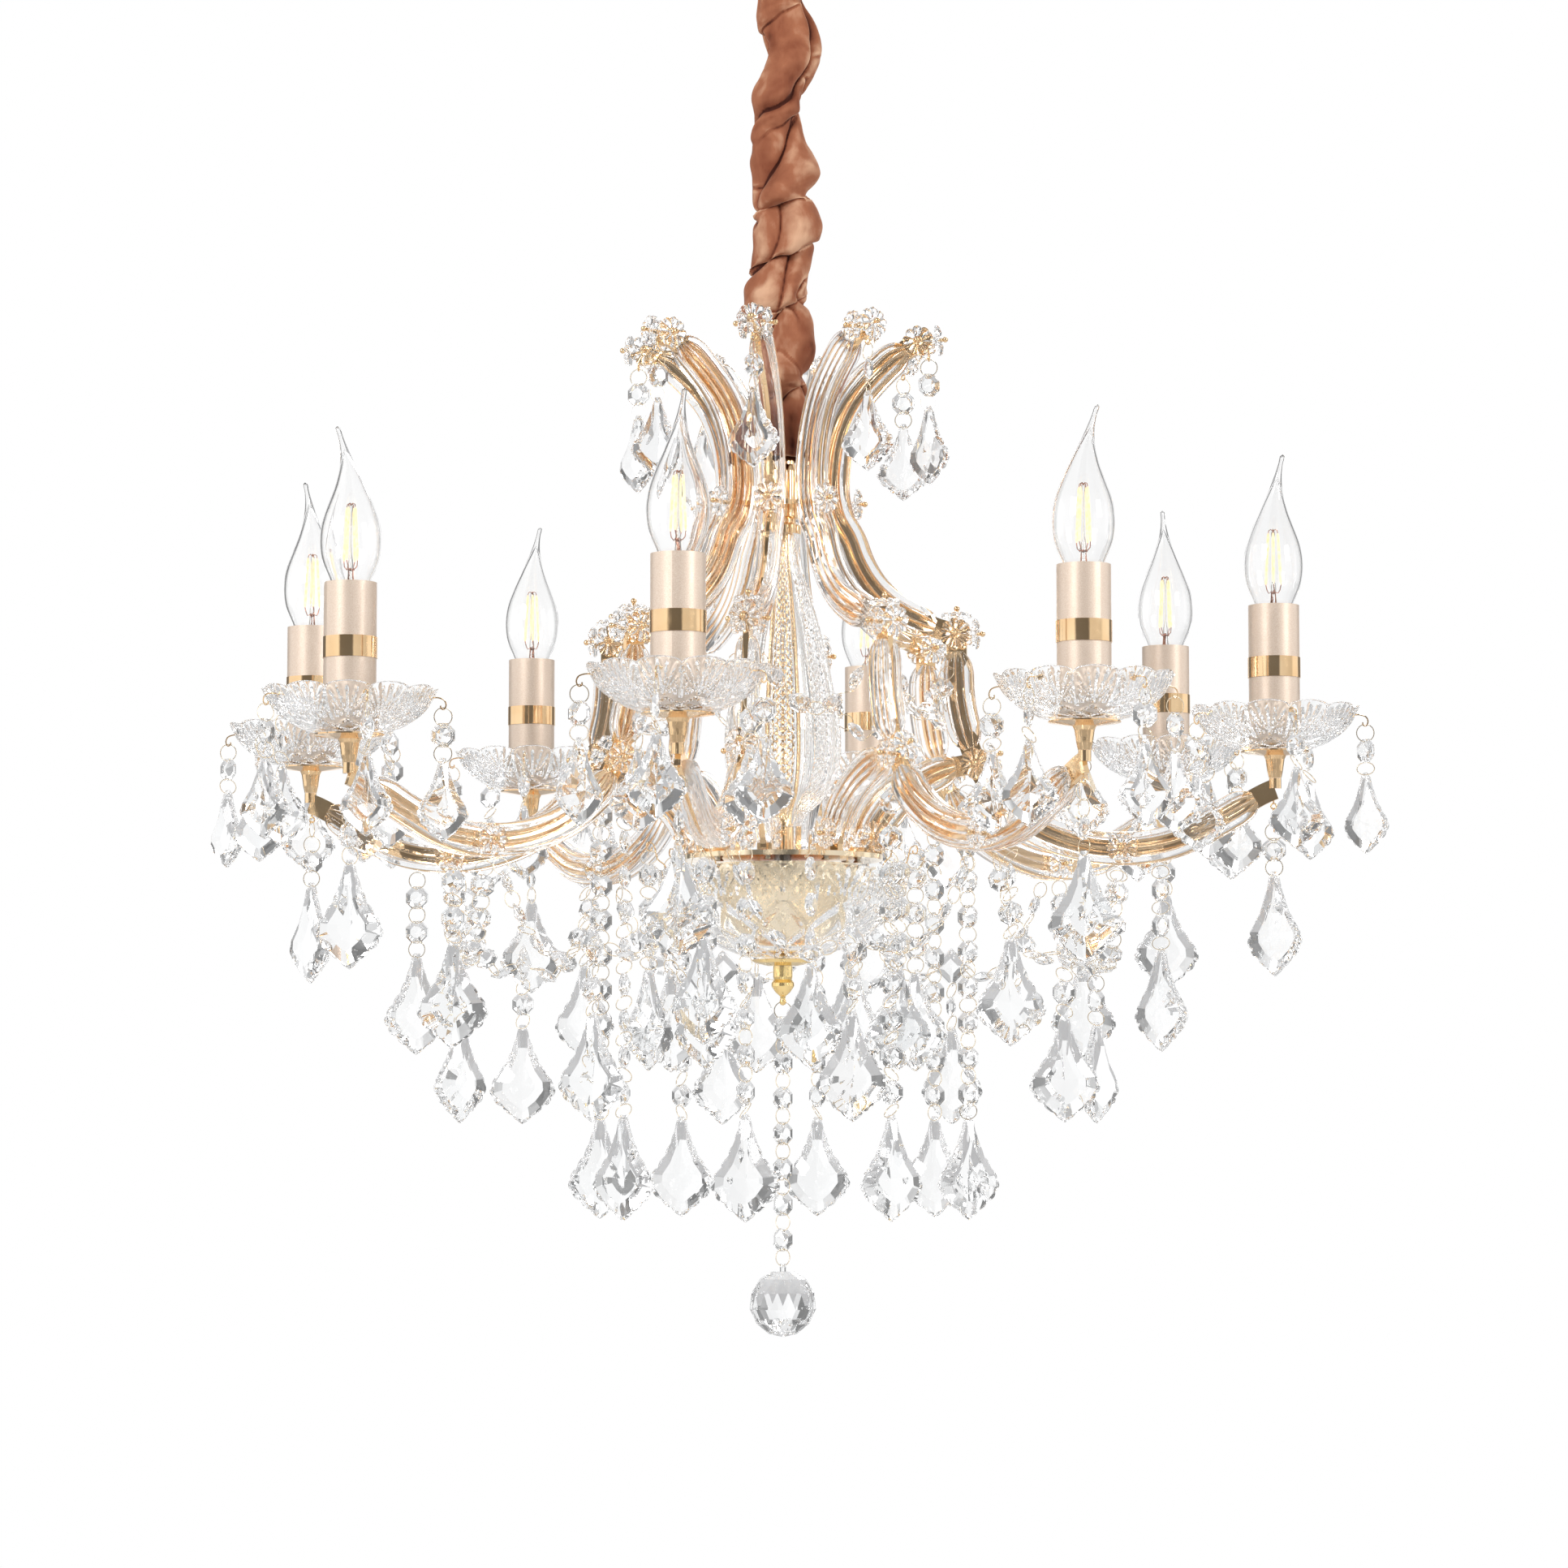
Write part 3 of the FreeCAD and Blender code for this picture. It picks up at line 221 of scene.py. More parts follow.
def torus(radius, wire, steps=22, sides=6):
    """A wire ring round the X axis."""
    profile = [(radius + wire * math.cos(TAU * i / sides), wire * math.sin(TAU * i / sides))
               for i in range(sides)]
    ring = lathe(profile, steps)
    return Form(ring.points[:, [2, 0, 1]], ring.faces)


# ---- the frame's own solids

def solids_of(node):
    """The separate solids of a CAD node, each as an array of its corner points."""
    mesh = frame["nodes"][node].data
    points = np.empty(len(mesh.vertices) * 3)
    mesh.vertices.foreach_get("co", points)
    ends = np.empty(len(mesh.edges) * 2, int)
    mesh.edges.foreach_get("vertices", ends)
    merged, index = np.unique(points.reshape(-1, 3).round(6), axis=0, return_inverse=True)
    a, b = index.ravel()[ends].reshape(-1, 2).T
    label = np.arange(len(merged))
    while True:
        lower = np.minimum(label[a], label[b])
        nearer = label.copy()
        np.minimum.at(nearer, a, lower)
        np.minimum.at(nearer, b, lower)
        nearer = nearer[nearer]
        if (nearer == label).all():
            break
        label = nearer
    order = np.argsort(label, kind="stable")
    return np.split(merged[order], np.flatnonzero(np.diff(label[order])) + 1)


def middle(points):
    return (points.min(0) + points.max(0)) / 2


def angle_of(point):
    return math.degrees(math.atan2(point[1], point[0]))


def lamp_places():
    """The axis of each candle, in the order of the arms."""
    sleeves = [middle(points) for points in solids_of("candle_sleeves")]
    places = []
    for arm in range(1, ARMS + 1):
        low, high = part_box("arm_%d" % arm)
        side = (low + high) / 2
        places.append(min(sleeves, key=lambda at: math.dist(at[:2], 2 * side.xy)))
    return places


LAMPS = lamp_places()
ARM_ANGLES = [angle_of(lamp) for lamp in LAMPS]


def nearest_arm(point, shift=0.0):
    """The number of the arm whose angle, moved on by shift, is nearest to a point's."""
    gaps = [abs((angle_of(point) - angle - shift + 180) % 360 - 180) for angle in ARM_ANGLES]
    return gaps.index(min(gaps)) + 1


# ---- materials

def feed(tree, value, target):
    """Links a socket to the target, or sets the target to a plain value."""
    if isinstance(value, bpy.types.NodeSocket):
        tree.links.new(value, target)
    else:
        target.default_value = value


def ramp_colour(tree, source, stops):
    """The colour of a ramp with (position, colour) stops that a socket runs along."""
    made = tree.nodes.new("ShaderNodeValToRGB")
    feed(tree, source, made.inputs["Fac"])
    ramp = made.color_ramp
    while len(ramp.elements) < len(stops):
        ramp.elements.new(0.5)
    for element, (spot, colour) in zip(ramp.elements, stops):
        element.position = spot
        element.color = (*colour, 1)
    return made.outputs["Color"]


class Shade:
    """A procedural material and short ways to add its nodes."""

    def __init__(self, name, **sockets):
        self.material = bpy.data.materials.new(name)
        self.material.use_nodes = True
        self.tree = self.material.node_tree
        self.surface = self.tree.nodes["Principled BSDF"]
        for socket, value in sockets.items():
            self.surface.inputs[socket.replace("_", " ")].default_value = value

    def node(self, kind, **inputs):
        made = self.tree.nodes.new(kind)
        for socket, value in inputs.items():
            feed(self.tree, value, made.inputs[socket.replace("_", " ")])
        return made

    def place(self, stretch=(1, 1, 1)):
        coordinates = self.node("ShaderNodeTexCoord")
        return self.node("ShaderNodeMapping", Vector=coordinates.outputs["Object"],
                         Scale=stretch).outputs["Vector"]

    def noise(self, scale, detail=3.0, stretch=(1, 1, 1), distortion=0.0):
        return self.node("ShaderNodeTexNoise", Vector=self.place(stretch), Scale=scale,
                         Detail=detail, Distortion=distortion).outputs["Fac"]

    def between(self, source, low, high, start=0.3, end=0.7):
        return self.node("ShaderNodeMapRange", Value=source, **{
            "From Min": start, "From Max": end, "To Min": low, "To Max": high}).outputs["Result"]

    def ramp(self, source, *stops):
        return ramp_colour(self.tree, source, stops)

    def bump(self, source, distance, strength=1.0):
        made = self.node("ShaderNodeBump", Height=source, Distance=distance, Strength=strength)
        self.drive("Normal", made.outputs["Normal"])

    def drive(self, socket, source):
        self.tree.links.new(source, self.surface.inputs[socket])

    def mottle(self, source, low, high, start=0.3, end=0.7):
        self.drive("Base Color", self.ramp(source, (start, low), (end, high)))

    def wear(self, source, smoothest, roughest):
        self.drive("Roughness", self.between(source, smoothest, roughest))


def gilt(name, pale, deep, smoothest, roughest):
    """Polished gilt metal with faint cloudy wear and a slightly uneven surface."""
    shade = Shade(name, Metallic=1.0)
    shade.mottle(shade.noise(38, 4), deep, pale, end=0.65)
    shade.wear(shade.noise(140, 5), smoothest, roughest)
    shade.bump(shade.noise(210, 2), 0.00004)
    return shade.material


def zinc_steel():
    shade = Shade("bright_zinc", Metallic=1.0)
    shade.mottle(shade.noise(60), (0.50, 0.51, 0.53), (0.72, 0.72, 0.72))
    shade.wear(shade.noise(200, 5), 0.18, 0.38)
    shade.bump(shade.noise(400, 3), 0.00005)
    return shade.material


def clear(name, colour, ior, smoothest, roughest, waves, wave_height):
    """Clear glass, a little uneven from its mould, with a faint haze that comes and goes."""
    shade = Shade(name, Transmission_Weight=1.0, IOR=ior)
    shade.mottle(shade.noise(24, 2), colour, (1, 1, 1))
    shade.wear(shade.noise(90, 3), smoothest, roughest)
    if waves:
        shade.bump(shade.noise(waves, 2), wave_height)
    return shade.material


def champagne():
    """Satin lacquered candle sleeves with a fine pearl grain."""
    shade = Shade("champagne_lacquer", Metallic=0.35, Coat_Weight=0.25, Coat_Roughness=0.2)
    grain = shade.noise(1900, 2)
    shade.mottle(grain, (0.76, 0.60, 0.47), (0.88, 0.74, 0.62), 0.35, 0.68)
    shade.wear(shade.noise(70, 4), 0.34, 0.46)
    shade.bump(grain, 0.00002)
    return shade.material


def moulded_plastic():
    shade = Shade("ivory_plastic")
    shade.mottle(shade.noise(50), (0.80, 0.78, 0.72), (0.86, 0.85, 0.80))
    shade.wear(shade.noise(300, 4), 0.38, 0.55)
    shade.bump(shade.noise(900, 2), 0.00003)
    return shade.material


def nickel():
    shade = Shade("nickel_cap", Metallic=1.0)
    shade.mottle(shade.noise(80), (0.66, 0.64, 0.61), (0.78, 0.77, 0.74))
    shade.wear(shade.noise(160, 4), 0.2, 0.36)
    shade.bump(shade.noise(500, 2), 0.00003)
    return shade.material


def lit_filament():
    """Glowing phosphor-coated strips, a little patchy."""
    shade = Shade("lit_filament", Emission_Strength=1.0, Roughness=0.5)
    patches = shade.noise(420, 2)
    shade.mottle(patches, (0.35, 0.27, 0.12), (0.45, 0.38, 0.22))
    shade.drive("Emission Color", shade.ramp(patches, (0.3, (1.0, 0.80, 0.45)),
                                             (0.7, (1.0, 0.92, 0.70))))
    return shade.material


def crushed_velvet_with_painted_shade():
    """Copper velvet: dark across the nap, pale where it lies over, in crushed patches; painted
    shade in creases and painted light on crests.
    """
    shade = Shade("copper_velvet", Roughness=0.8, Sheen_Weight=0.55, Sheen_Roughness=0.3,
                  Sheen_Tint=(1.0, 0.70, 0.50, 1), Specular_IOR_Level=0.15)
    crushed = shade.noise(42, 7, (1, 1, 0.7), 0.3)
    # Painted light and shade: the mesh's pointiness lightens the colour on the crests of folds and
    # darkens it in creases.
    folded = shade.node("ShaderNodeNewGeometry").outputs["Pointiness"]
    painted_crest_light_crease_shade = shade.between(folded, -0.26, 0.26, 0.44, 0.56)
    pile_and_painted_shade = shade.node("ShaderNodeMath", Value=crushed)
    shade.tree.links.new(painted_crest_light_crease_shade, pile_and_painted_shade.inputs[1])
    shade.drive("Base Color", shade.ramp(pile_and_painted_shade.outputs["Value"], (0.24, (0.070, 0.017, 0.010)),
                                         (0.38, (0.26, 0.080, 0.040)),
                                         (0.55, (0.40, 0.150, 0.078)),
                                         (0.74, (0.74, 0.44, 0.28))))
    shade.bump(shade.noise(2600, 2, (1, 1, 0.5)), 0.00025, 0.6)
    return shade.material


GILT = gilt("polished_gilt", (0.93, 0.68, 0.41), (0.84, 0.56, 0.30), 0.05, 0.13)
BRIGHT_GILT = gilt("bright_gilt", (1.0, 0.76, 0.36), (0.92, 0.62, 0.24), 0.04, 0.12)
# A lighter copy of the gilt for the inner dish and arm plate: painted light that lifts the dark
# shade of light bouncing between their gilt faces.
GILT_WITH_PAINTED_LIGHT = gilt("pale_gilt_painted_light", (0.98, 0.84, 0.62), (0.95, 0.77, 0.52), 0.08, 0.18)
COPPER = gilt("filament_wire", (0.62, 0.30, 0.20), (0.40, 0.18, 0.12), 0.2, 0.35)
WIRE_GILT = gilt("gilt_wire", (0.96, 0.84, 0.66), (0.90, 0.74, 0.52), 0.12, 0.25)
ZINC = zinc_steel()
MOULDED_GLASS = clear("moulded_glass", (0.965, 0.97, 0.975), 1.5, 0.0, 0.02, 60, 0.0003)
CUT_GLASS = clear("cut_glass", (0.97, 0.98, 0.985), 1.52, 0.0, 0.015, 0, 0)
BULB_GLASS = clear("bulb_glass_clear", (0.985, 0.985, 0.985), 1.46, 0.0, 0.01, 30, 0.0002)
CRYSTAL = clear("cut_crystal_stone", (0.975, 0.985, 0.99), 1.6, 0.0, 0.01, 0, 0)
CHAMPAGNE = champagne()
PLASTIC = moulded_plastic()
NICKEL = nickel()
FILAMENT = lit_filament()
VELVET = crushed_velvet_with_painted_shade()

SLOT_MATERIAL = {
    "gilt_metal": GILT, "zinc_steel": ZINC, "clear_glass": MOULDED_GLASS, "cut_crystal": CRYSTAL,
    "bulb_glass": BULB_GLASS, "cap_metal": NICKEL, "filament": FILAMENT,
    "champagne_sleeve": CHAMPAGNE, "holder_plastic": PLASTIC, "velvet": VELVET}
NODE_MATERIAL = {"finial": BRIGHT_GILT, "bowl_washer": BRIGHT_GILT, "inner_dish": GILT_WITH_PAINTED_LIGHT,
                 "arm_plate": GILT_WITH_PAINTED_LIGHT}


def dress_cad_nodes():
    """Gives every CAD node the finish of its slot in the record, or its own finish."""
    for part in frame["record"]["subparts"]:
        node = part["node"]
        material = NODE_MATERIAL.get(node, SLOT_MATERIAL[part["material_slot"]])
        for slot in frame["nodes"][node].material_slots:
            slot.material = material


# ---- camera, light and room

CAMERA_AT = (0.0007, -2.684, -0.751)
CAMERA_RAISED = 4.58
CAMERA_LENS = 102.9
CAMERA_SENSOR = 36.0
LIGHT_AIM = Vector((0, 0, -0.45))
FLOOR_HALF = 12.0
FLOOR_HEIGHT = -2.6
BOUNCES = 40


def camera():
    data = bpy.data.cameras.new("camera")
    data.lens = CAMERA_LENS
    data.sensor_width = CAMERA_SENSOR
    made = bpy.data.objects.new("camera", data)
    made.location = CAMERA_AT
    made.rotation_euler = (math.radians(90 + CAMERA_RAISED), 0, 0)
    SCENE.collection.objects.link(made)
    SCENE.camera = made


def studio():
    """White all round for the eye. Glass and metal see tall dark cards in a pale room."""
    world = bpy.data.worlds.new("studio")
    world.use_nodes = True
    SCENE.world = world
    tree = world.node_tree
    nodes, links = tree.nodes, tree.links

    def math_node(operation, *values):
        made = nodes.new("ShaderNodeMath")
        made.operation = operation
        for socket, value in zip(made.inputs, values):
            feed(tree, value, socket)
        return made.outputs["Value"]

    def mixed(kind, factor, low, high):
        made = nodes.new("ShaderNodeMix")
        made.data_type = "RGBA"
        made.blend_type = kind
        for socket, value in (("Factor", factor), ("A", low), ("B", high)):
            feed(tree, value, made.inputs[socket])
        return made.outputs["Result"]

    direction = nodes.new("ShaderNodeSeparateXYZ")
    links.new(nodes.new("ShaderNodeTexCoord").outputs["Generated"], direction.inputs[0])
    turn = math_node("ARCTAN2", direction.outputs["Y"], direction.outputs["X"])
    phase = math_node("FRACT", math_node("ADD", math_node("MULTIPLY", turn, ARMS / TAU), ARMS))
    around = math_node("MULTIPLY_ADD", turn, 1 / TAU, 0.5)
    height = math_node("MULTIPLY_ADD", direction.outputs["Z"], 0.5, 0.5)

    def grey(value):
        return (value, value, value)

    # What glass sees: a pale wall with a dark card for each arm, warm and cool at its edges.
    cards = ramp_colour(tree, phase, [
        (0.0, grey(0.93)), (0.22, grey(0.91)), (0.34, grey(0.78)), (0.40, (1.0, 0.55, 0.30)),
        (0.44, grey(0.12)), (0.56, grey(0.12)), (0.60, (0.35, 0.68, 1.0)), (0.66, grey(0.78)),
        (0.78, grey(0.91))])
    through = mixed("MULTIPLY", 1.0, cards, ramp_colour(tree, height, [
        (0.0, grey(0.35)), (0.30, grey(0.72)), (0.42, grey(1)), (0.60, grey(1)),
        (0.68, grey(0.82)), (0.76, grey(0.42)), (0.86, grey(0.85)), (1.0, grey(0.55))]))
    # What polished metal sees: bright walls with three dark stretches between them.
    walls = ramp_colour(tree, around, [
        (0.00, grey(1.1)), (0.125, grey(1.2)), (0.15, grey(0.20)), (0.29, grey(0.18)),
        (0.31, grey(0.85)), (0.46, grey(0.75)), (0.49, grey(1.15)), (0.58, grey(1.1)),
        (0.60, grey(0.22)), (0.66, grey(0.25)), (0.68, grey(0.9)), (0.80, grey(1.1)),
        (0.83, grey(0.2)), (0.90, grey(0.2)), (0.93, grey(1.1))])
    mirrored = mixed("MULTIPLY", 1.0, walls, ramp_colour(tree, height, [
        (0.0, grey(0.4)), (0.35, grey(0.85)), (0.45, grey(1)), (0.7, grey(1)),
        (0.85, grey(0.6)), (1.0, grey(0.9))]))
    light = nodes.new("ShaderNodeLightPath").outputs
    seen = mixed("MIX", light["Is Glossy Ray"], through, mirrored)
    seen = mixed("MIX", light["Is Camera Ray"], seen, (1, 1, 1, 1))
    links.new(seen, nodes["Background"].inputs["Color"])


def lamp_light(name, at, size, power):
    data = bpy.data.lights.new(name, "AREA")
    data.shape = "SQUARE"
    data.size = size
    data.energy = power
    made = bpy.data.objects.new(name, data)
    made.location = at
    made.rotation_euler = (LIGHT_AIM - Vector(at)).to_track_quat("-Z", "Y").to_euler()
    made.visible_camera = False
    SCENE.collection.objects.link(made)


def room():
    corners = [(FLOOR_HALF * x, FLOOR_HALF * y, FLOOR_HEIGHT)
               for x, y in ((-1, -1), (1, -1), (1, 1), (-1, 1))]
    floor = as_object("floor", Form(corners, [(0, 1, 2, 3)]))
    shade = Shade("pale_floor", Roughness=0.7)
    shade.mottle(shade.noise(1.5), (0.92, 0.92, 0.92), (0.96, 0.96, 0.96))
    floor.data.materials.append(shade.material)
    lamp_light("key", (-2.2, -2.6, 1.0), 1.4, 60)
    lamp_light("fill", (2.6, -1.8, 0.6), 1.0, 35)
    lamp_light("rim", (0.8, 2.8, 1.6), 1.2, 45)


def light_paths():
    """Plain colours, and enough bounces for light to leave the stacked glass. A ray turned
    back inside glass counts as a glossy bounce."""
    SCENE.view_settings.view_transform = "Standard"
    SCENE.cycles.max_bounces = BOUNCES
    SCENE.cycles.transmission_bounces = BOUNCES
    SCENE.cycles.glossy_bounces = BOUNCES


# ---- velvet sleeve

# Depth below the ceiling, then how far the cloth reaches to the left and to the right.
VELVET_REACH = [(52, 14.5, 11.0), (57, 14.6, 11.0), (75, 14.1, 20.4), (92, 9.7, 21.4),
                (116, 18.5, 8.8), (144, 16.5, 12.2), (163, 18.5, 20.9), (176, 19.9, 12.2),
                (194, 17.5, 22.4), (214, 16.5, 16.5), (239, 22.4, 13.1), (269, 14.0, 18.5),
                (300, 12.0, 13.0), (331, 11.0, 11.2), (340, 10.0, 10.0)]
# The main roll winds down the tube as a loose spiral: its count of turns by depth.
VELVET_ROLLS = [(52, -0.45), (85, 0.0), (122, 0.5), (163, 1.0), (178, 1.5), (194, 2.0),
                (211, 2.5), (224, 3.0), (240, 3.5), (266, 4.0), (288, 4.5), (340, 5.2)]
VELVET_THICK = 0.9
VELVET_MEAN = 16
BETWEEN_ROLLS = 11.0
ROLL_RISE = 9.4
LEAST_REACH = 8.4
HOOK_CLEARANCE = 11.0
HOOK_DEPTHS = (70, 82)


def velvet_form(rows=340, steps=120):
    """The gathered tube: a spiral of rolls within the outline, with creases and fine gathers."""
    low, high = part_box("velvet_sleeve")
    depth = np.linspace(-high.z, -low.z, rows) / MM
    line = smooth_line(np.array(VELVET_REACH, float), 200)
    rolls = np.array(VELVET_ROLLS, float)
    turn = np.arange(steps) * TAU / steps
    u, d = np.meshgrid(turn, depth)

    def cloud(scale, seed, stretch=1.0, twist=0.0):
        spin = u + twist * d
        spots = zip((np.cos(spin) * VELVET_MEAN / scale).ravel(),
                    (np.sin(spin) * VELVET_MEAN / scale).ravel(),
                    (d / scale / stretch + seed).ravel())
        return np.array([noise.noise(Vector(spot)) for spot in spots]).reshape(u.shape)

    def crease(field, width):
        """A sharp fold line, 1 at its bottom, wherever a smooth field passes through zero."""
        return 0.7 * np.exp(-(field / width) ** 2) + 0.3 * np.exp(-3 * np.abs(field) / width)

    calm = np.clip((d - depth[0]) / 12, 0, 1) * np.clip((depth[-1] - d) / 30, 0, 1)
    wander = cloud(26, 4.4)
    wave = np.interp(d, rolls[:, 0], rolls[:, 1]) + u / TAU + 0.2 * wander
    share = (wave - 0.5) % 1
    bulge = np.sin(math.pi * share ** 1.6) ** 0.7
    across = np.cos(u)
    side = np.where(across > 0, np.interp(d, line[:, 0], line[:, 2]),
                    np.interp(d, line[:, 0], line[:, 1]))
    around = BETWEEN_ROLLS + ROLL_RISE * bulge
    reach = side * np.abs(across) ** 1.5 + around * (1 - np.abs(across) ** 1.5)
    folds = (-5.2 * crease(cloud(38, 7.7, 1.2, 0.03), 0.13) + 1.5
             - 3.6 * crease(cloud(24, 2.6, 0.7, -0.04), 0.11) * np.clip(cloud(30, 9.3) * 4, 0, 1)
             + 2.2 * cloud(15, 5.2) + 0.5 * cloud(6, 6.1))
    gathers = 0.7 * np.cos(13 * u + 3 * wander)
    reach = reach + calm * folds + (1 - calm) * gathers
    # The cloth clears the hook's eye at the top, also when the chandelier swings.
    reach = np.maximum(reach, np.interp(d, HOOK_DEPTHS, (HOOK_CLEARANCE, LEAST_REACH)))
    sag = calm * (6.0 * (bulge - 0.5) + 1.5 * cloud(15, 3.3))
    height = np.clip(-(d + sag), -depth[-1], -depth[0])
    points = np.stack([reach * across, reach * np.sin(u), height], -1) * MM
    faces = [(r * steps + i, r * steps + (i + 1) % steps, (r + 1) * steps + (i + 1) % steps,
              (r + 1) * steps + i) for r in range(rows - 1) for i in range(steps)]
    return Form(points, faces).outward()


def velvet_sleeve():
    sleeve = piece("velvet_cover", velvet_form(), VELVET, "chandelier",
                   ["velvet_sleeve"], smooth=80)
    thick = sleeve.modifiers.new("cloth_thickness", "SOLIDIFY")
    thick.thickness = VELVET_THICK * MM
    thick.offset = -1


# ---- glass on the arms

# The lines of each arm that glass lies along, as (distance from the axis, height), and how
# far each bar stops short of the line's two ends.
RIB_LINES = {
    "crown": [(84, 164), (71, 157), (56, 144), (43, 128), (34.5, 108), (31, 88), (31.2, 70),
              (34.5, 57), (40.8, 45.5), (46.8, 30), (54.5, 17), (64, 7), (76, -1.2),
              (90, -7.5), (106, -13)],
    "upright": [(106, -13), (106, -34), (107, -53), (111, -72), (118, -91)],
    "inner": [(118, -91), (103, -93), (89, -98.5), (75.5, -107.5), (64, -119), (57, -131),
              (54.5, -144)],
    "outer": [(118, -91), (131, -111.5), (152, -128.5), (182, -140), (208, -142.5),
              (235, -138.5), (260, -127), (277, -117.5), (288, -111.5), (295, -108.6)]}
RIB_TRIMS = {"crown": (9.5, 13.5), "upright": (10.5, 10.5), "inner": (12.5, 4.5),
             "outer": (10.5, 13.0)}
BAR_WIDTH = 19.5
BAR_THICK = 4.5
BAR_NEAR = 1.85
BAR_RIBS = 4
BAR_STEP = 3.0
BAR_ENDS = (0.45, 0.72, 0.88, 0.96, 1.0)


def glass_bar(line, start_trim, end_trim):
    """A clear bar with rounded ribs along it, lying beside the arm's plate on its +Y side."""
    fine = smooth_line(line, 400)
    length = run_of(fine)[-1]
    count = int((length - start_trim - end_trim) / BAR_STEP)
    centre = points_at(fine, np.linspace(start_trim, length - end_trim, count))
    ahead = headings(centre)
    side = np.stack([-ahead[:, 1], ahead[:, 0]], 1)
    across = np.linspace(-0.5, 0.5, 8 * BAR_RIBS + 1)
    rise = BAR_THICK * (0.58 + 0.42 * np.sqrt(np.abs(np.sin(math.pi * BAR_RIBS * (across + 0.5)))))
    section = [(-0.5, 0.0)] + list(zip(across, rise)) + [(0.5, 0.0)]
    points = []
    for i, (spot, beside) in enumerate(zip(centre, side)):
        narrow = BAR_ENDS[min(i, count - 1 - i, len(BAR_ENDS) - 1)]
        for share, depth in section:
            r, z = spot + beside * share * BAR_WIDTH * narrow
            points.append((r, BAR_NEAR + depth * narrow, z))
    return Form(points, bar_faces(count, len(section))).outward()


def arm_glass():
    bars = [glass_bar(line, *RIB_TRIMS[name]) for name, line in RIB_LINES.items()]
    mirror = Matrix.Scale(-1, 4, Vector((0, 1, 0)))
    both = joined(bars + [bar.placed(mirror) for bar in bars])
    for arm, angle in enumerate(ARM_ANGLES, 1):
        piece("glass_bars_%d" % arm, both.placed(turned(angle, (0, 0, CANDLE_PLANE))),
              MOULDED_GLASS, "chandelier", ["arm_glass_bars"], smooth=50)


# ---- rosettes

ROSETTE_RADIUS = 9.3
ROSETTE_THICK = 3.2
ROSETTE_HOLE = 0.14
PETALS = 9


def rosette_form():
    """A moulded glass flower: nine puffed petals round a domed boss with a pin hole."""
    shares = [ROSETTE_HOLE, 0.20, 0.27, 0.32, 0.38, 0.48, 0.60, 0.73, 0.85, 0.94, 1.0]
    profile = [(ROSETTE_RADIUS * s, ROSETTE_THICK) for s in shares]
    profile += [(ROSETTE_RADIUS, 0), (ROSETTE_RADIUS * ROSETTE_HOLE, 0)]

    def shaped(r, z, turn):
        share = r / ROSETTE_RADIUS
        petal = np.abs(np.cos(PETALS * turn / 2)) ** 0.55
        puff = np.sin(math.pi * np.clip((share - 0.30) / 0.72, 0, 1)) ** 0.55
        boss = np.sqrt(np.clip(1 - (share / 0.34) ** 2, 0, 1))
        height = 0.30 + 0.68 * np.where(share < 0.31, 0.75 * boss, puff * petal)
        narrow = 1 - 0.16 * (1 - petal) * np.clip((share - 0.5) / 0.5, 0, 1)
        return r * narrow, np.where(z > 0, ROSETTE_THICK * height, 0)

    return lathe(profile, 8 * PETALS, shaped)


def rosettes():
    flower = rosette_form()
    groups = {arm: [] for arm in range(1, ARMS + 1)}
    for number, points in enumerate(solids_of("rosettes")):
        centre = middle(points)
        axis = np.linalg.svd(points - centre, full_matrices=False)[2][2]
        depth = (points - centre) @ axis
        spread = np.linalg.norm(np.cross(points - centre, axis), axis=1)
        if spread[depth > depth.max() * 0.9].max() > spread[depth < depth.min() * 0.9].max():
            axis, depth = -axis, -depth
        foot = centre + axis * depth.min()
        side = np.cross(axis, [0.31, 0.24, 0.92])
        turn = Matrix.Rotation(number * 0.7, 3, Vector(axis))
        groups[nearest_arm(centre)].append(
            flower.placed(facing_frame(turn @ Vector(side), axis, foot)))
    for arm, forms in groups.items():
        piece("rosettes_%d" % arm, joined(forms), CUT_GLASS, "chandelier",
              ["rosettes"], smooth=40)


# ---- cut glass dishes, bowl, vase

SHELL_STEPS = 336
SHELL_CUTS = 12
VASE_BANDS = 8
VASE_LENGTH = 186


def groove(wave, width):
    """A V groove at each whole number of wave, 1 at its bottom and 0 beyond its width."""
    return np.clip(1 - np.abs((wave + 0.5) % 1 - 0.5) / (width / 2), 0, 1)


def fan_and_diamond(share, turn, base, rays, slant, width):
    """Cut depth, 0 to 1: fans of rays above base share and crossed diamonds below it."""
    cell = turn / TAU * SHELL_CUTS
    across = (cell + 0.5) % 1 - 0.5
    above = np.clip(share - base, 0.03, 1)
    fan = groove(across / above * rays, 0.55) * (share > base + 0.04)
    edge = groove(cell + 0.5, 0.16) * (share > base)
    lean = (share - base) * slant
    crossed = np.maximum(groove(cell + lean, width), groove(cell - lean, width))
    crossed = crossed * (share < base) * (share > 0.12)
    return np.maximum(np.maximum(fan * 0.8, edge), crossed)


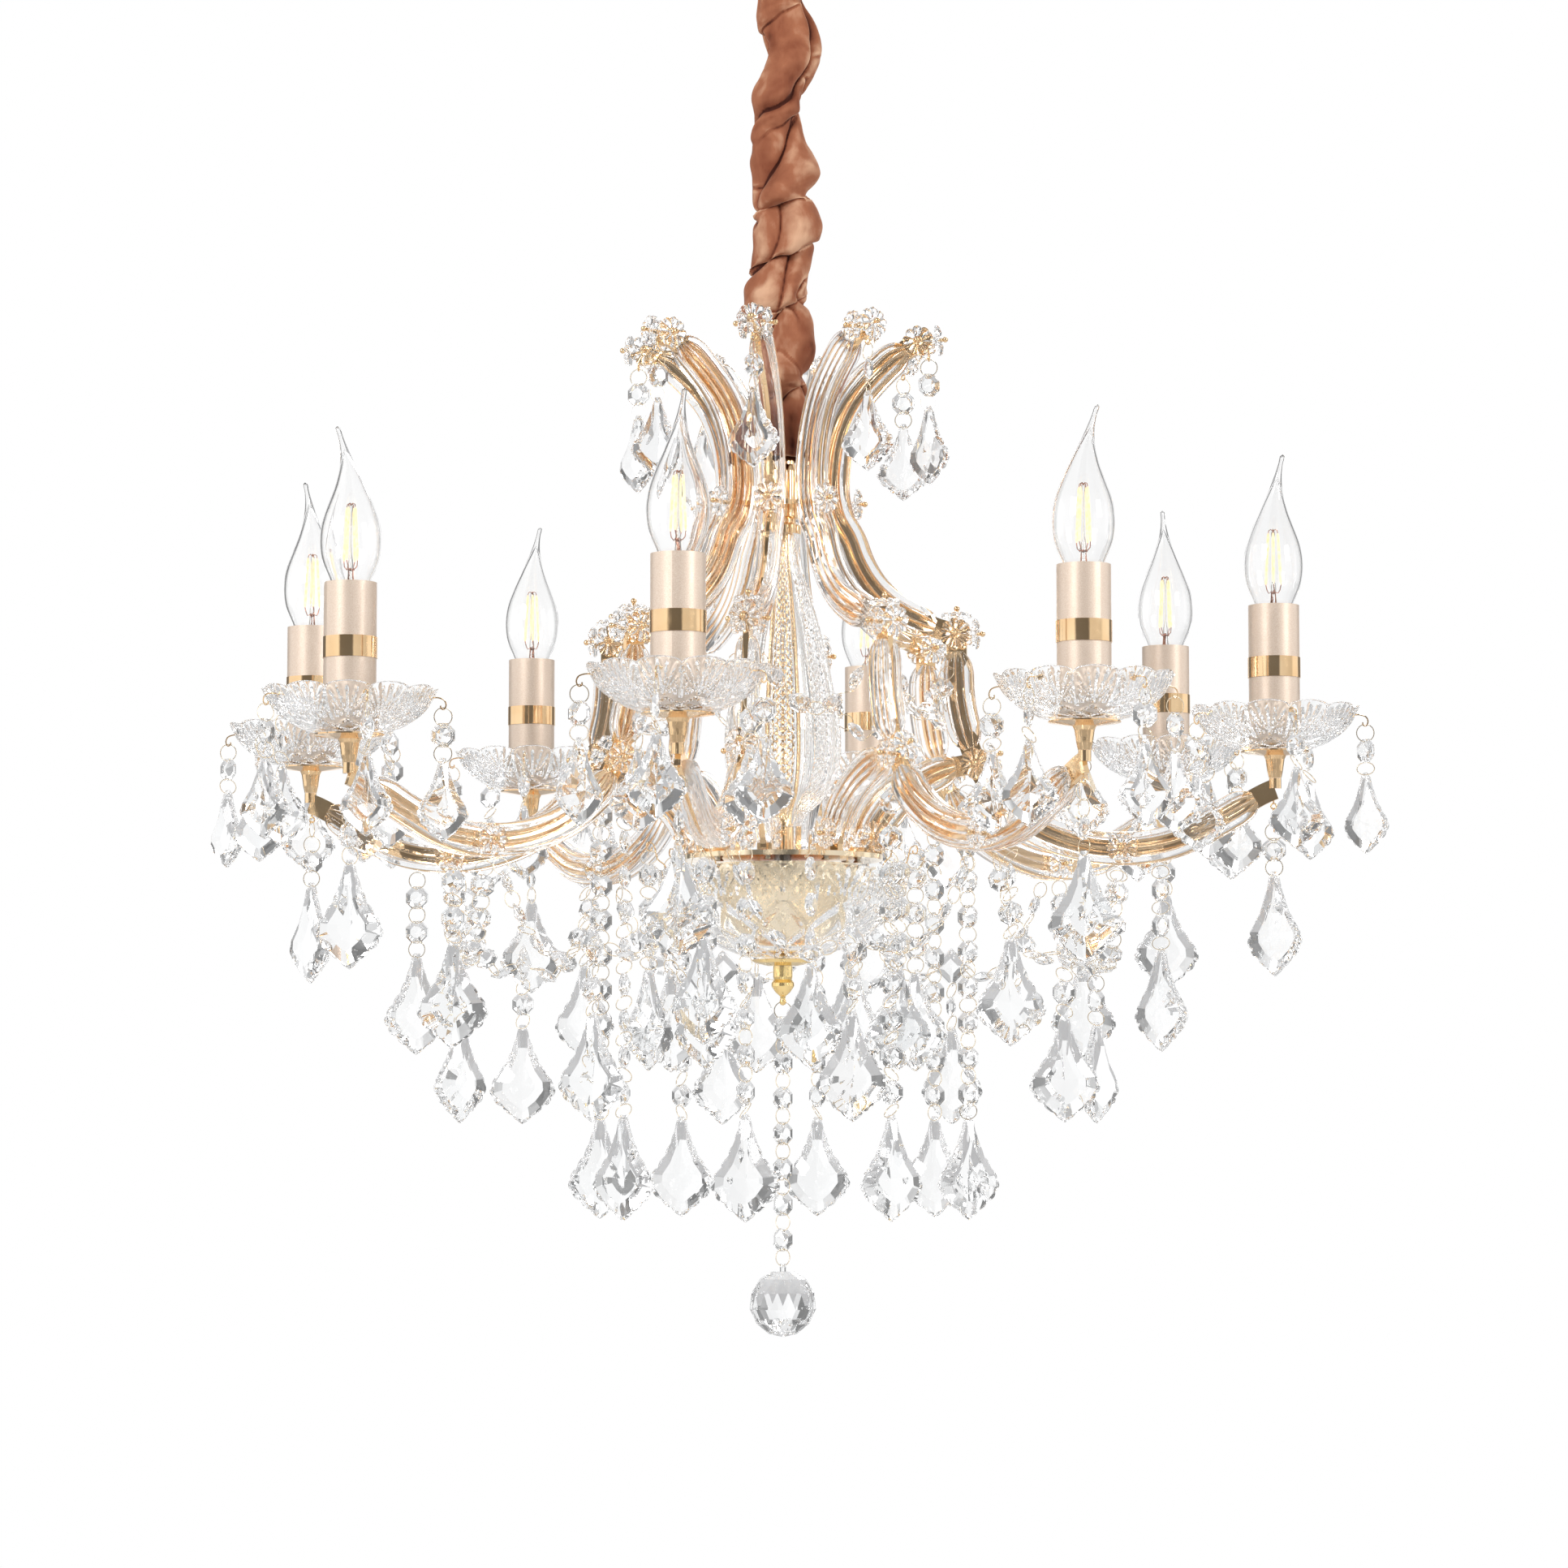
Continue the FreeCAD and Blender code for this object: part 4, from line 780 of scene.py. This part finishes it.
def cut_shell(outside, inside, rows, pattern, depth, scallop, drop):
    """A turned glass shell with cuts of that pattern and depth on its outer side. scallop and
    drop are how far the rim is notched inwards and downwards."""
    outer = smooth_line(outside, rows)
    inner = smooth_line(inside, rows // 2)[::-1]
    profile = np.concatenate([outer, inner])
    share = np.concatenate([np.linspace(0, 1, rows), np.linspace(1, 0, rows // 2)])[None, :]
    on_outside = (np.arange(len(profile)) < rows)[None, :]

    def shaped(r, z, turn):
        cuts = fan_and_diamond(share + 0 * turn, turn, **pattern) * on_outside
        cuts = cuts * np.clip((1 - share) * 12, 0, 1) * depth
        notch = 1 - np.abs(np.cos(SHELL_CUTS * turn / 2)) ** 0.45
        near_rim = np.clip((share - 0.72) / 0.28, 0, 1) ** 2
        return (r - cuts * 0.85 - scallop * notch * near_rim,
                z + cuts * 0.5 - drop * notch * near_rim)

    return lathe(profile, SHELL_STEPS, shaped)


def bobeches():
    outside = [(5.3, 0.5), (14, 0.5), (22, 1.4), (33, 6), (44, 15), (50, 26)]
    inside = [(5.3, 3.5), (14, 3.5), (21, 4), (31.5, 9), (41.5, 16.5), (47.4, 26)]
    pattern = {"base": 0.50, "rays": 2.0, "slant": 4, "width": 0.22}
    dish = cut_shell(outside, inside, 40, pattern, depth=1.5, scallop=1.6, drop=3.6)
    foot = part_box("bobeches")[0].z - 0.5 * MM
    for number, (lamp, angle) in enumerate(zip(LAMPS, ARM_ANGLES), 1):
        piece("bobeche_%d" % number, dish.placed(turned(angle, (lamp[0], lamp[1], foot))),
              CUT_GLASS, "chandelier", ["bobeches"], smooth=24)


def glass_bowl():
    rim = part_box("glass_bowl")[1].z
    outside = [(5.2, -53), (14, -52.6), (24, -51), (38, -46), (54, -37), (67, -25), (74.2, -11),
               (75, 0)]
    inside = [(5.2, -49), (14, -48.6), (23, -47), (36.4, -42.3), (51.7, -33.7), (63.8, -22.6),
              (70.3, -10.2), (71, 0)]
    pattern = {"base": 0.76, "rays": 1.0, "slant": 2.2, "width": 0.26}
    bowl = cut_shell(outside, inside, 56, pattern, depth=2.2, scallop=0.8, drop=1.8)
    piece("cut_bowl", bowl.placed(turned(0, (0, 0, rim))), CUT_GLASS, "chandelier",
          ["glass_bowl"], smooth=24)


def glass_vase():
    """The baluster: eight upright bands of small diamonds with a hollow flute between each."""
    outside = [(10.5, 49.8), (10.6, 36), (17.7, 10), (25, -17), (31, -46), (35, -72),
               (33.5, -93), (26, -109), (14.5, -120), (10.5, -126.8)]
    inside = [(7.2, 49.8), (7.5, 37), (14.8, 10), (22, -16.5), (28, -45.5), (32, -72),
              (30.8, -91.6), (24, -106.8), (11, -118), (7.2, -126.8)]
    outer = smooth_line(outside, 220)
    inner = smooth_line(inside, 60)[::-1]
    profile = np.concatenate([outer, inner])
    on_outside = (np.arange(len(profile)) < len(outer))[None, :]
    along = np.concatenate([np.linspace(0, VASE_LENGTH, len(outer)),
                            np.zeros(len(inner))])[None, :]

    def shaped(r, z, turn):
        across = (turn / TAU * VASE_BANDS + 0.5) % 1 - 0.5
        grid = across * 5
        crossed = np.maximum(groove(grid + along / 5, 0.7), groove(grid - along / 5, 0.7))
        in_band = np.abs(across) < 0.27
        flute = 1 - (np.clip((0.5 - np.abs(across)) / 0.2, 0, 1)) ** 2
        ends = np.clip(along / 12, 0, 1) * np.clip((VASE_LENGTH - along) / 12, 0, 1)
        depth = np.where(in_band, 0.9 * crossed, 1.3 * flute)
        return r - depth * ends * on_outside, z

    vase = lathe(profile, 320, shaped)
    piece("banded_vase", vase.placed(turned(0, (0, 0, CANDLE_PLANE))), CUT_GLASS,
          "chandelier", ["glass_vase"], smooth=24)


# ---- bulbs

# The way each bulb's bent tip points, in degrees round from +X, in the order of the arms.
TIP_TURNS = (-65, 10, -50, 95, 140, 55, -120, 200)
TIP_LEAN = 8.5
LEAN_FROM = 44.0
BULB_TOP = 89.0


def bent(form):
    """The bulb with its tip leaning over, more and more towards the top."""
    rise = np.clip(form.points[:, 2] - LEAN_FROM, 0, None)
    form.points[:, 0] += TIP_LEAN * (rise / (BULB_TOP - LEAN_FROM)) ** 2
    return form


def ray(degrees):
    """The level unit vector at an angle from +X."""
    a = math.radians(degrees)
    return np.array([math.cos(a), math.sin(a), 0])


def bulb_form():
    outside = [(6.8, -22), (7.4, -12), (9.3, -5), (12.2, 3), (16.3, 13), (17.5, 24), (16.2, 35),
               (12.4, 46), (8.3, 56), (5.0, 65), (2.9, 73), (1.7, 80), (1.35, 85), (1.5, 87.4),
               (0.9, 88.8), (0.05, BULB_TOP)]
    inside = [(6.0, -22), (6.6, -12), (8.5, -4.6), (11.4, 3.4), (15.4, 13.4), (16.6, 24),
              (15.3, 34.6), (11.5, 45.5), (7.4, 55.4), (4.1, 64.4), (1.8, 71), (0.05, 76)]
    profile = np.concatenate([smooth_line(outside, 64), smooth_line(inside, 40)[::-1]])
    return bent(lathe(profile, 40))


def stem_form():
    """The pinched glass foot inside the bulb and the thin rod that carries the filaments."""
    profile = smooth_line([(0.05, -22), (4.2, -22), (4.0, -14), (2.6, -4), (1.6, 6), (1.4, 12),
                           (0.9, 15), (0.8, 40), (1.0, 44), (0.05, 45)], 40)
    return lathe(profile, 20)


def filament_form():
    """Four upright strips that lean in towards their tops, narrow at both ends."""
    strips = []
    for i in range(4):
        outward = ray(45 + 90 * i)
        foot = outward * 4.5 + UP * 12.5
        head = outward * 2.8 + UP * 43
        shares = (0, 0.02, 0.06, 0.5, 0.94, 0.98, 1)
        widths = (0.25, 0.55, 0.78, 0.82, 0.78, 0.55, 0.25)
        strip = rod([foot + (head - foot) * s for s in shares], 1.0, 8)
        rings = strip.points.reshape(len(shares), 8, 3)
        centres = rings.mean(1, keepdims=True)
        rings[:] = centres + (rings - centres) * np.array(widths)[:, None, None]
        strips.append(strip)
    return joined(strips)


def support_form():
    """Fine wires: two leads up through the stem, and springy loops to the strips' ends."""
    wires = []
    for i in range(4):
        outward = ray(45 + 90 * i)
        sideways = np.cross(UP, outward)
        wires.append(rod([UP * 7, outward * 1.6 + UP * 8.2 + sideways * 1.1,
                          outward * 2.7 + UP * 7.6 - sideways * 0.8,
                          outward * 3.8 + UP * 9.4 + sideways * 0.5, outward * 4.5 + UP * 12.6],
                         0.28))
        wires.append(rod([UP * 44, outward * 1.2 + UP * 45.2, outward * 2.4 + UP * 44.6,
                          outward * 2.8 + UP * 42.8], 0.25))
    for side in (-1, 1):
        wires.append(rod([(2.2 * side, 0, -20), (1.6 * side, 0, -6), (0.9 * side, 0.4, 4),
                          (1.2 * side, 0, 9)], 0.35))
    return joined(wires)


def bulbs():
    forms = (("bulb", bulb_form(), BULB_GLASS, "bulb_glass", ["bulb_glass"], 60),
             ("bulb_stem", stem_form(), BULB_GLASS, "bulb_glass", ["filament_stems"], 60),
             ("filaments", filament_form(), FILAMENT, "filament", ["filament_stems"], 60),
             ("filament_wires", support_form(), COPPER, "cap_metal", ["filament_stems"], 60))
    for number, (lamp, tip) in enumerate(zip(LAMPS, TIP_TURNS), 1):
        place = turned(tip, (lamp[0], lamp[1], CANDLE_PLANE))
        for name, form, material, slot, nodes, smooth in forms:
            piece("%s_%d" % (name, number), form.placed(place), material, "chandelier",
                  nodes, smooth)


# ---- crystals

# A flat solid is a ring, and the others are told apart by their longest side.
RING_FLATNESS = 1.5
BEAD_LENGTH = 17
RHOMBUS_LENGTH = 30
SMALL_DROP_LENGTH = 55
# The height and width of the two leaf-shaped drops.
SMALL_DROP = (48, 33)
LARGE_DROP = (62, 41)
BEAD_RADIUS = 7.4
HOLE_REACH = 5.4
DROP_HOLE_DEPTH = 2.8
RING_RADIUS = 5.1
RING_WIRE = 0.28
SCALLOPS = 9
NOTCH = (1.0, 0.38, 0.09, 0.0, 0.09, 0.38)
NOTCH_SIZE = 0.033
HOLE_RADIUS = 0.85
DRILL_REACH = 12


def cut_stone(rim, corners, centre, girdle, front, back):
    """A cut stone from its (y, z) rim. front and back list facet rings as (share, x): the
    corners drawn in to centre by that share. A last share of 0 is a point, else a flat table."""
    rim, corners, centre = (np.asarray(a, float) for a in (rim, corners, centre))
    count = len(rim)
    closed = np.concatenate([corners, corners[:1]])
    seat = even_points(closed, count + 1)[:-1]
    marks = []
    for corner in corners:
        mark = int(np.argmin(np.linalg.norm(seat - corner, axis=1)))
        seat[mark] = corner
        marks.append(mark)
    points, faces = [], []

    def add(outline, x):
        start = len(points)
        points.extend((x, y, z) for y, z in outline)
        return list(range(start, len(points)))

    rims = {}
    for sign, rings in ((1, front), (-1, back)):
        rims[sign] = add(rim, sign * girdle)
        share, x = rings[0]
        edge = add(centre + (seat - centre) * share, sign * x)
        for i in range(count):
            j = (i + 1) % count
            faces.append((rims[sign][i], rims[sign][j], edge[j], edge[i])[::sign])
        ring = None
        for share, x in rings[1:]:
            inner = add(centre + (corners - centre) * share, sign * x) if share else (
                add([centre], sign * x) * len(corners))
            for k in range(len(corners)):
                n = (k + 1) % len(corners)
                if ring is None:
                    stretch = [edge[m % count] for m in range(
                        marks[k], marks[n] + (count if marks[n] <= marks[k] else 0) + 1)]
                else:
                    stretch = [ring[k], ring[n]]
                tail = [inner[n], inner[k]] if share else [inner[k]]
                faces.append(tuple(stretch + tail)[::sign])
            ring = inner
        if rings[-1][0]:
            faces.append(tuple(ring)[::sign])
    for i in range(count):
        j = (i + 1) % count
        faces.append((rims[-1][i], rims[-1][j], rims[1][j], rims[1][i]))
    return Form(points, faces).outward()


def drilled(form, holes):
    """The stone with round holes through it along X at the (y, z) places."""
    drills = joined([rod([(-DRILL_REACH, y, z), (DRILL_REACH, y, z)], HOLE_RADIUS, 10)
                     for y, z in holes])
    stone = as_object("stone_blank", form)
    tool = as_object("drill_blank", drills)
    cut = stone.modifiers.new("drill", "BOOLEAN")
    cut.object = tool
    cut.operation = "DIFFERENCE"
    cut.solver = "EXACT"
    mesh = bpy.data.meshes.new_from_object(
        stone.evaluated_get(bpy.context.evaluated_depsgraph_get()))
    result = Form([v.co for v in mesh.vertices], [p.vertices for p in mesh.polygons])
    for made in (stone, tool):
        bpy.data.objects.remove(made)
    return result


def bead_form():
    """The octagon: eight wedges to a point in front, a flat table behind."""
    angles = [math.radians(22.5 + 45 * i) for i in range(8)]
    rim = [(BEAD_RADIUS * math.cos(a), BEAD_RADIUS * math.sin(a)) for a in angles]
    stone = cut_stone(rim, rim, (0, 0), 0.35, [(0.86, 0.9), (0, 2.8)],
                      [(0.86, 0.9), (0.56, 2.4), (0.5, 2.8)])
    return drilled(stone, [(0, HOLE_REACH), (0, -HOLE_REACH)])


def rhombus_form(reach=12.5):
    rim = [(reach, 0), (0, reach), (-reach, 0), (0, -reach)]
    stone = cut_stone(rim, rim, (0, 0), 0.4, [(0.85, 1.2), (0, 3.6)], [(0.8, 1.6), (0.45, 3.6)])
    hole = reach - 3.2
    return drilled(stone, [(hole, 0), (-hole, 0), (0, hole), (0, -hole)])


def drop_form(height, width):
    """A pendalogue: a scalloped leaf with long bevels, a flat face and a starred back."""
    flank = [(0.10, 1.0), (0.19, 0.90), (0.33, 0.76), (0.55, 0.61), (0.84, 0.47), (1.0, 0.37),
             (0.94, 0.27), (0.66, 0.17), (0.40, 0.10), (0.18, 0.045), (0.0, 0.0)]
    facets = [(0.12, 0.985), (0.19, 0.88), (0.50, 0.62), (0.90, 0.43), (0.93, 0.31),
              (0.58, 0.155), (0.22, 0.055)]

    def real(pairs):
        return np.array([(w * width / 2, height * (h - 1) + DROP_HOLE_DEPTH) for w, h in pairs])

    right = smooth_line(real(flank), SCALLOPS * len(NOTCH) + 1)
    along = headings(right)
    inward = np.stack([along[:, 1], -along[:, 0]], 1)
    notch = np.array(NOTCH)[np.arange(len(right)) % len(NOTCH)]
    size = NOTCH_SIZE * width * np.interp(np.linspace(0, 1, len(right)), [0, 0.2, 0.55, 0.8, 1],
                                     [0.2, 0.8, 1.3, 1.2, 0.3])
    right = right + inward * (notch * size)[:, None]
    right[:, 0] = np.clip(right[:, 0], 0, None)
    left = right[::-1][1:] * (-1, 1)
    corners = real(facets)
    tip = real([(0.0, 0.02)])
    corners = np.concatenate([corners, tip, corners[::-1] * (-1, 1)])
    centre = (0, height * (0.40 - 1) + DROP_HOLE_DEPTH)
    stone = cut_stone(np.concatenate([right, left]), corners, centre, 0.6,
                      [(0.94, 2.0), (0.62, 5.0)], [(0.93, 2.2), (0.42, 4.8), (0, 5.5)])
    return drilled(stone, [(0, 0)])


def stone_frames(points):
    """What a solid of a crystal string is, and where it stands: (kind, matrix)."""
    axes = np.linalg.svd(points - points.mean(0), full_matrices=False)[2]
    spans = points @ axes.T
    low = spans.min(0)
    high = spans.max(0)
    extent = (high - low) / MM
    centre = (low + high) / 2 @ axes
    facing = axes[2]
    upward = axes[0]
    if extent[2] < RING_FLATNESS:
        return "ring", facing_frame(facing, upward, centre)
    outward = centre * (1, 1, 0)
    if facing @ outward < 0:
        facing = -facing
    if extent[0] < BEAD_LENGTH:
        return "bead", facing_frame(facing, upward, centre)
    if extent[0] < RHOMBUS_LENGTH:
        upward = UP - facing * (facing @ UP)
        return "rhombus", facing_frame(facing, upward, centre)
    if spans[:, 0].mean() < (low[0] + high[0]) / 2:
        upward = -upward
    top = (points @ upward).max()
    hole = centre + upward * (top - DROP_HOLE_DEPTH * MM - centre @ upward)
    kind = "small_drop" if extent[0] < SMALL_DROP_LENGTH else "large_drop"
    return kind, facing_frame(facing, upward, hole)


# Wire paths in (outward, up) from the top of the ring that each one holds.
HOOK_TAIL = [(0.6, 4.2), (1.6, 1.4), (0.2, -1.0), (-1.4, -0.2), (-1.4, 1.2)]
HOOK_PATHS = {
    "dish_pin": [(-9.8, 5.7), (-6.5, 5.7), (-2.6, 5.6)] + HOOK_TAIL,
    "arm_eye": [(0.0, 8.0), (0.1, 6.0)] + HOOK_TAIL,
    "bowl_clip": [(-10.6, -17), (-9.7, -9.8), (-5.6, -6.4), (-1.6, 3.6)] + HOOK_TAIL}
HOOK_WIRE = 0.42
# Rings above these levels hang from a dish, an arm's low point or the bowl's rim. The rings
# of the last two also stand this far from the axis, within the slack.
DISH_LEVEL = -80
ARM_LEVEL = -160
BOWL_LEVEL = -150
ARM_EYE_RADIUS = 230
BOWL_CLIP_RADIUS = 81.5
RADIUS_SLACK = 2


def hook_form(name):
    """A bent wire that a string's first ring hangs in. The dish pin has a round head inside."""
    path = smooth_line(HOOK_PATHS[name], 36)
    wire = rod(np.stack([path[:, 0], 0 * path[:, 0], path[:, 1]], 1), HOOK_WIRE)
    if name != "dish_pin":
        return wire
    head = lathe([(0.05, -0.9), (1.1, -0.7), (1.6, 0), (1.1, 0.7), (0.05, 0.9)], 14)
    head = Form(head.points[:, [2, 1, 0]] * (1, -1, 1) + (-10.2, 0, 5.7), head.faces)
    return joined([wire, head.outward()])


def hook_place(node, ring_centre):
    """The name of the hook that a ring hangs in and the point it faces away from, if any."""
    level = (ring_centre[2] - CANDLE_PLANE) / MM + RING_RADIUS
    radius = math.hypot(ring_centre[0], ring_centre[1]) / MM
    if node == "bobeche_drops" and level > DISH_LEVEL:
        return "dish_pin", min(LAMPS, key=lambda lamp: math.dist(lamp[:2], ring_centre[:2]))
    if node == "garlands" and abs(radius - ARM_EYE_RADIUS) < RADIUS_SLACK and level > ARM_LEVEL:
        return "arm_eye", (0, 0, 0)
    if node == "garlands" and abs(radius - BOWL_CLIP_RADIUS) < RADIUS_SLACK and level > BOWL_LEVEL:
        return "bowl_clip", (0, 0, 0)
    return None, None


# Rings this near their node's top hang in an eye or on a pin, and those of the garlands
# beyond this radius are at the garlands' ends.
TOP_RING_REACH = 14
GARLAND_END = 285
GARLAND_SHIFT = 11.0
DROP_TURN = 55
BEAD_TURN = 42


def hanging_turn(kind, node, matrix, top_of_node, chance):
    """Degrees that a solid turns about its hanging axis. Drops turn towards the front, beads
    and rings to and fro along a string, and the rings that it hangs from don't turn."""
    across, away = matrix[:2, 3]
    in_an_eye = matrix[2, 3] > top_of_node - TOP_RING_REACH * MM
    at_an_end = node == "garlands" and math.hypot(across, away) > GARLAND_END * MM
    if kind == "ring" and (in_an_eye or at_an_end):
        return 0
    if "drop" in kind:
        off_front = chance.uniform(-120, -60) - angle_of(matrix[:3, 0])
        return max(-DROP_TURN, min(DROP_TURN, (off_front + 90) % 180 - 90))
    wave = 25 if node == "garlands" else 210
    return BEAD_TURN * math.sin(wave * across + 1.3 * wave * away + 1)


def arm_ending(node, at):
    """The ending of a piece's name: dish drops and garlands are grouped by their arm."""
    if node == "bobeche_drops":
        return "_%d" % nearest_arm(at)
    if node == "garlands":
        return "_%d" % nearest_arm(at, GARLAND_SHIFT)
    return ""


def string_forms(node, shapes, hooks, chance):
    """The shapes that dress a string's solids, by name ending and then by finish."""
    groups = {}
    top_of_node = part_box(node)[1].z
    for points in solids_of(node):
        kind, matrix = stone_frames(points)
        at = matrix[:3, 3]
        group = groups.setdefault(arm_ending(node, at), {"rings": [], "stones": [], "hooks": []})
        hook, origin = hook_place(node, at) if kind == "ring" else (None, None)
        if hook:
            outward = (at - origin) * (1, 1, 0)
            top = at + UP * RING_RADIUS * MM
            group["hooks"].append(hooks[hook].placed(facing_frame(outward, UP, top)))
        turn = math.radians(hanging_turn(kind, node, matrix, top_of_node, chance))
        matrix = matrix @ np.array(Matrix.Rotation(turn, 4, "Z"))
        group["rings" if kind == "ring" else "stones"].append(shapes[kind].placed(matrix))
    return groups


def crystal_strings():
    """Dresses each string's solids with cut stones, wire rings and the hooks that hold them."""
    hooks = {name: hook_form(name) for name in HOOK_PATHS}
    shapes = {"bead": bead_form(), "rhombus": rhombus_form(),
              "small_drop": drop_form(*SMALL_DROP), "large_drop": drop_form(*LARGE_DROP),
              "ring": torus(RING_RADIUS, RING_WIRE)}
    finishes = (("stones", CRYSTAL, "cut_crystal", 24, 2.2),
                ("rings", WIRE_GILT, "gilt_metal", 60, None),
                ("hooks", GILT, "gilt_metal", 60, None))
    chance = np.random.default_rng(11)
    strings = [("bobeche_drops", "chandelier"), ("garlands", "chandelier"),
               ("ball_strand", "centre_strand")]
    for name in ("crown_drop", "knee_strand"):
        strings += [("%s_%d" % (name, i), "%s_%d_body" % (name, i)) for i in range(1, ARMS + 1)]
    for node, body in strings:
        for ending, group in sorted(string_forms(node, shapes, hooks, chance).items()):
            for finish, material, slot, smooth, facets in finishes:
                if group[finish]:
                    piece("%s%s_%s" % (node, ending, finish), joined(group[finish]), material,
                          body, [node], smooth, facets)


# ---- whole light

camera()
room()
light_paths()
studio()
dress_cad_nodes()
velvet_sleeve()
arm_glass()
rosettes()
bobeches()
glass_bowl()
glass_vase()
bulbs()
crystal_strings()
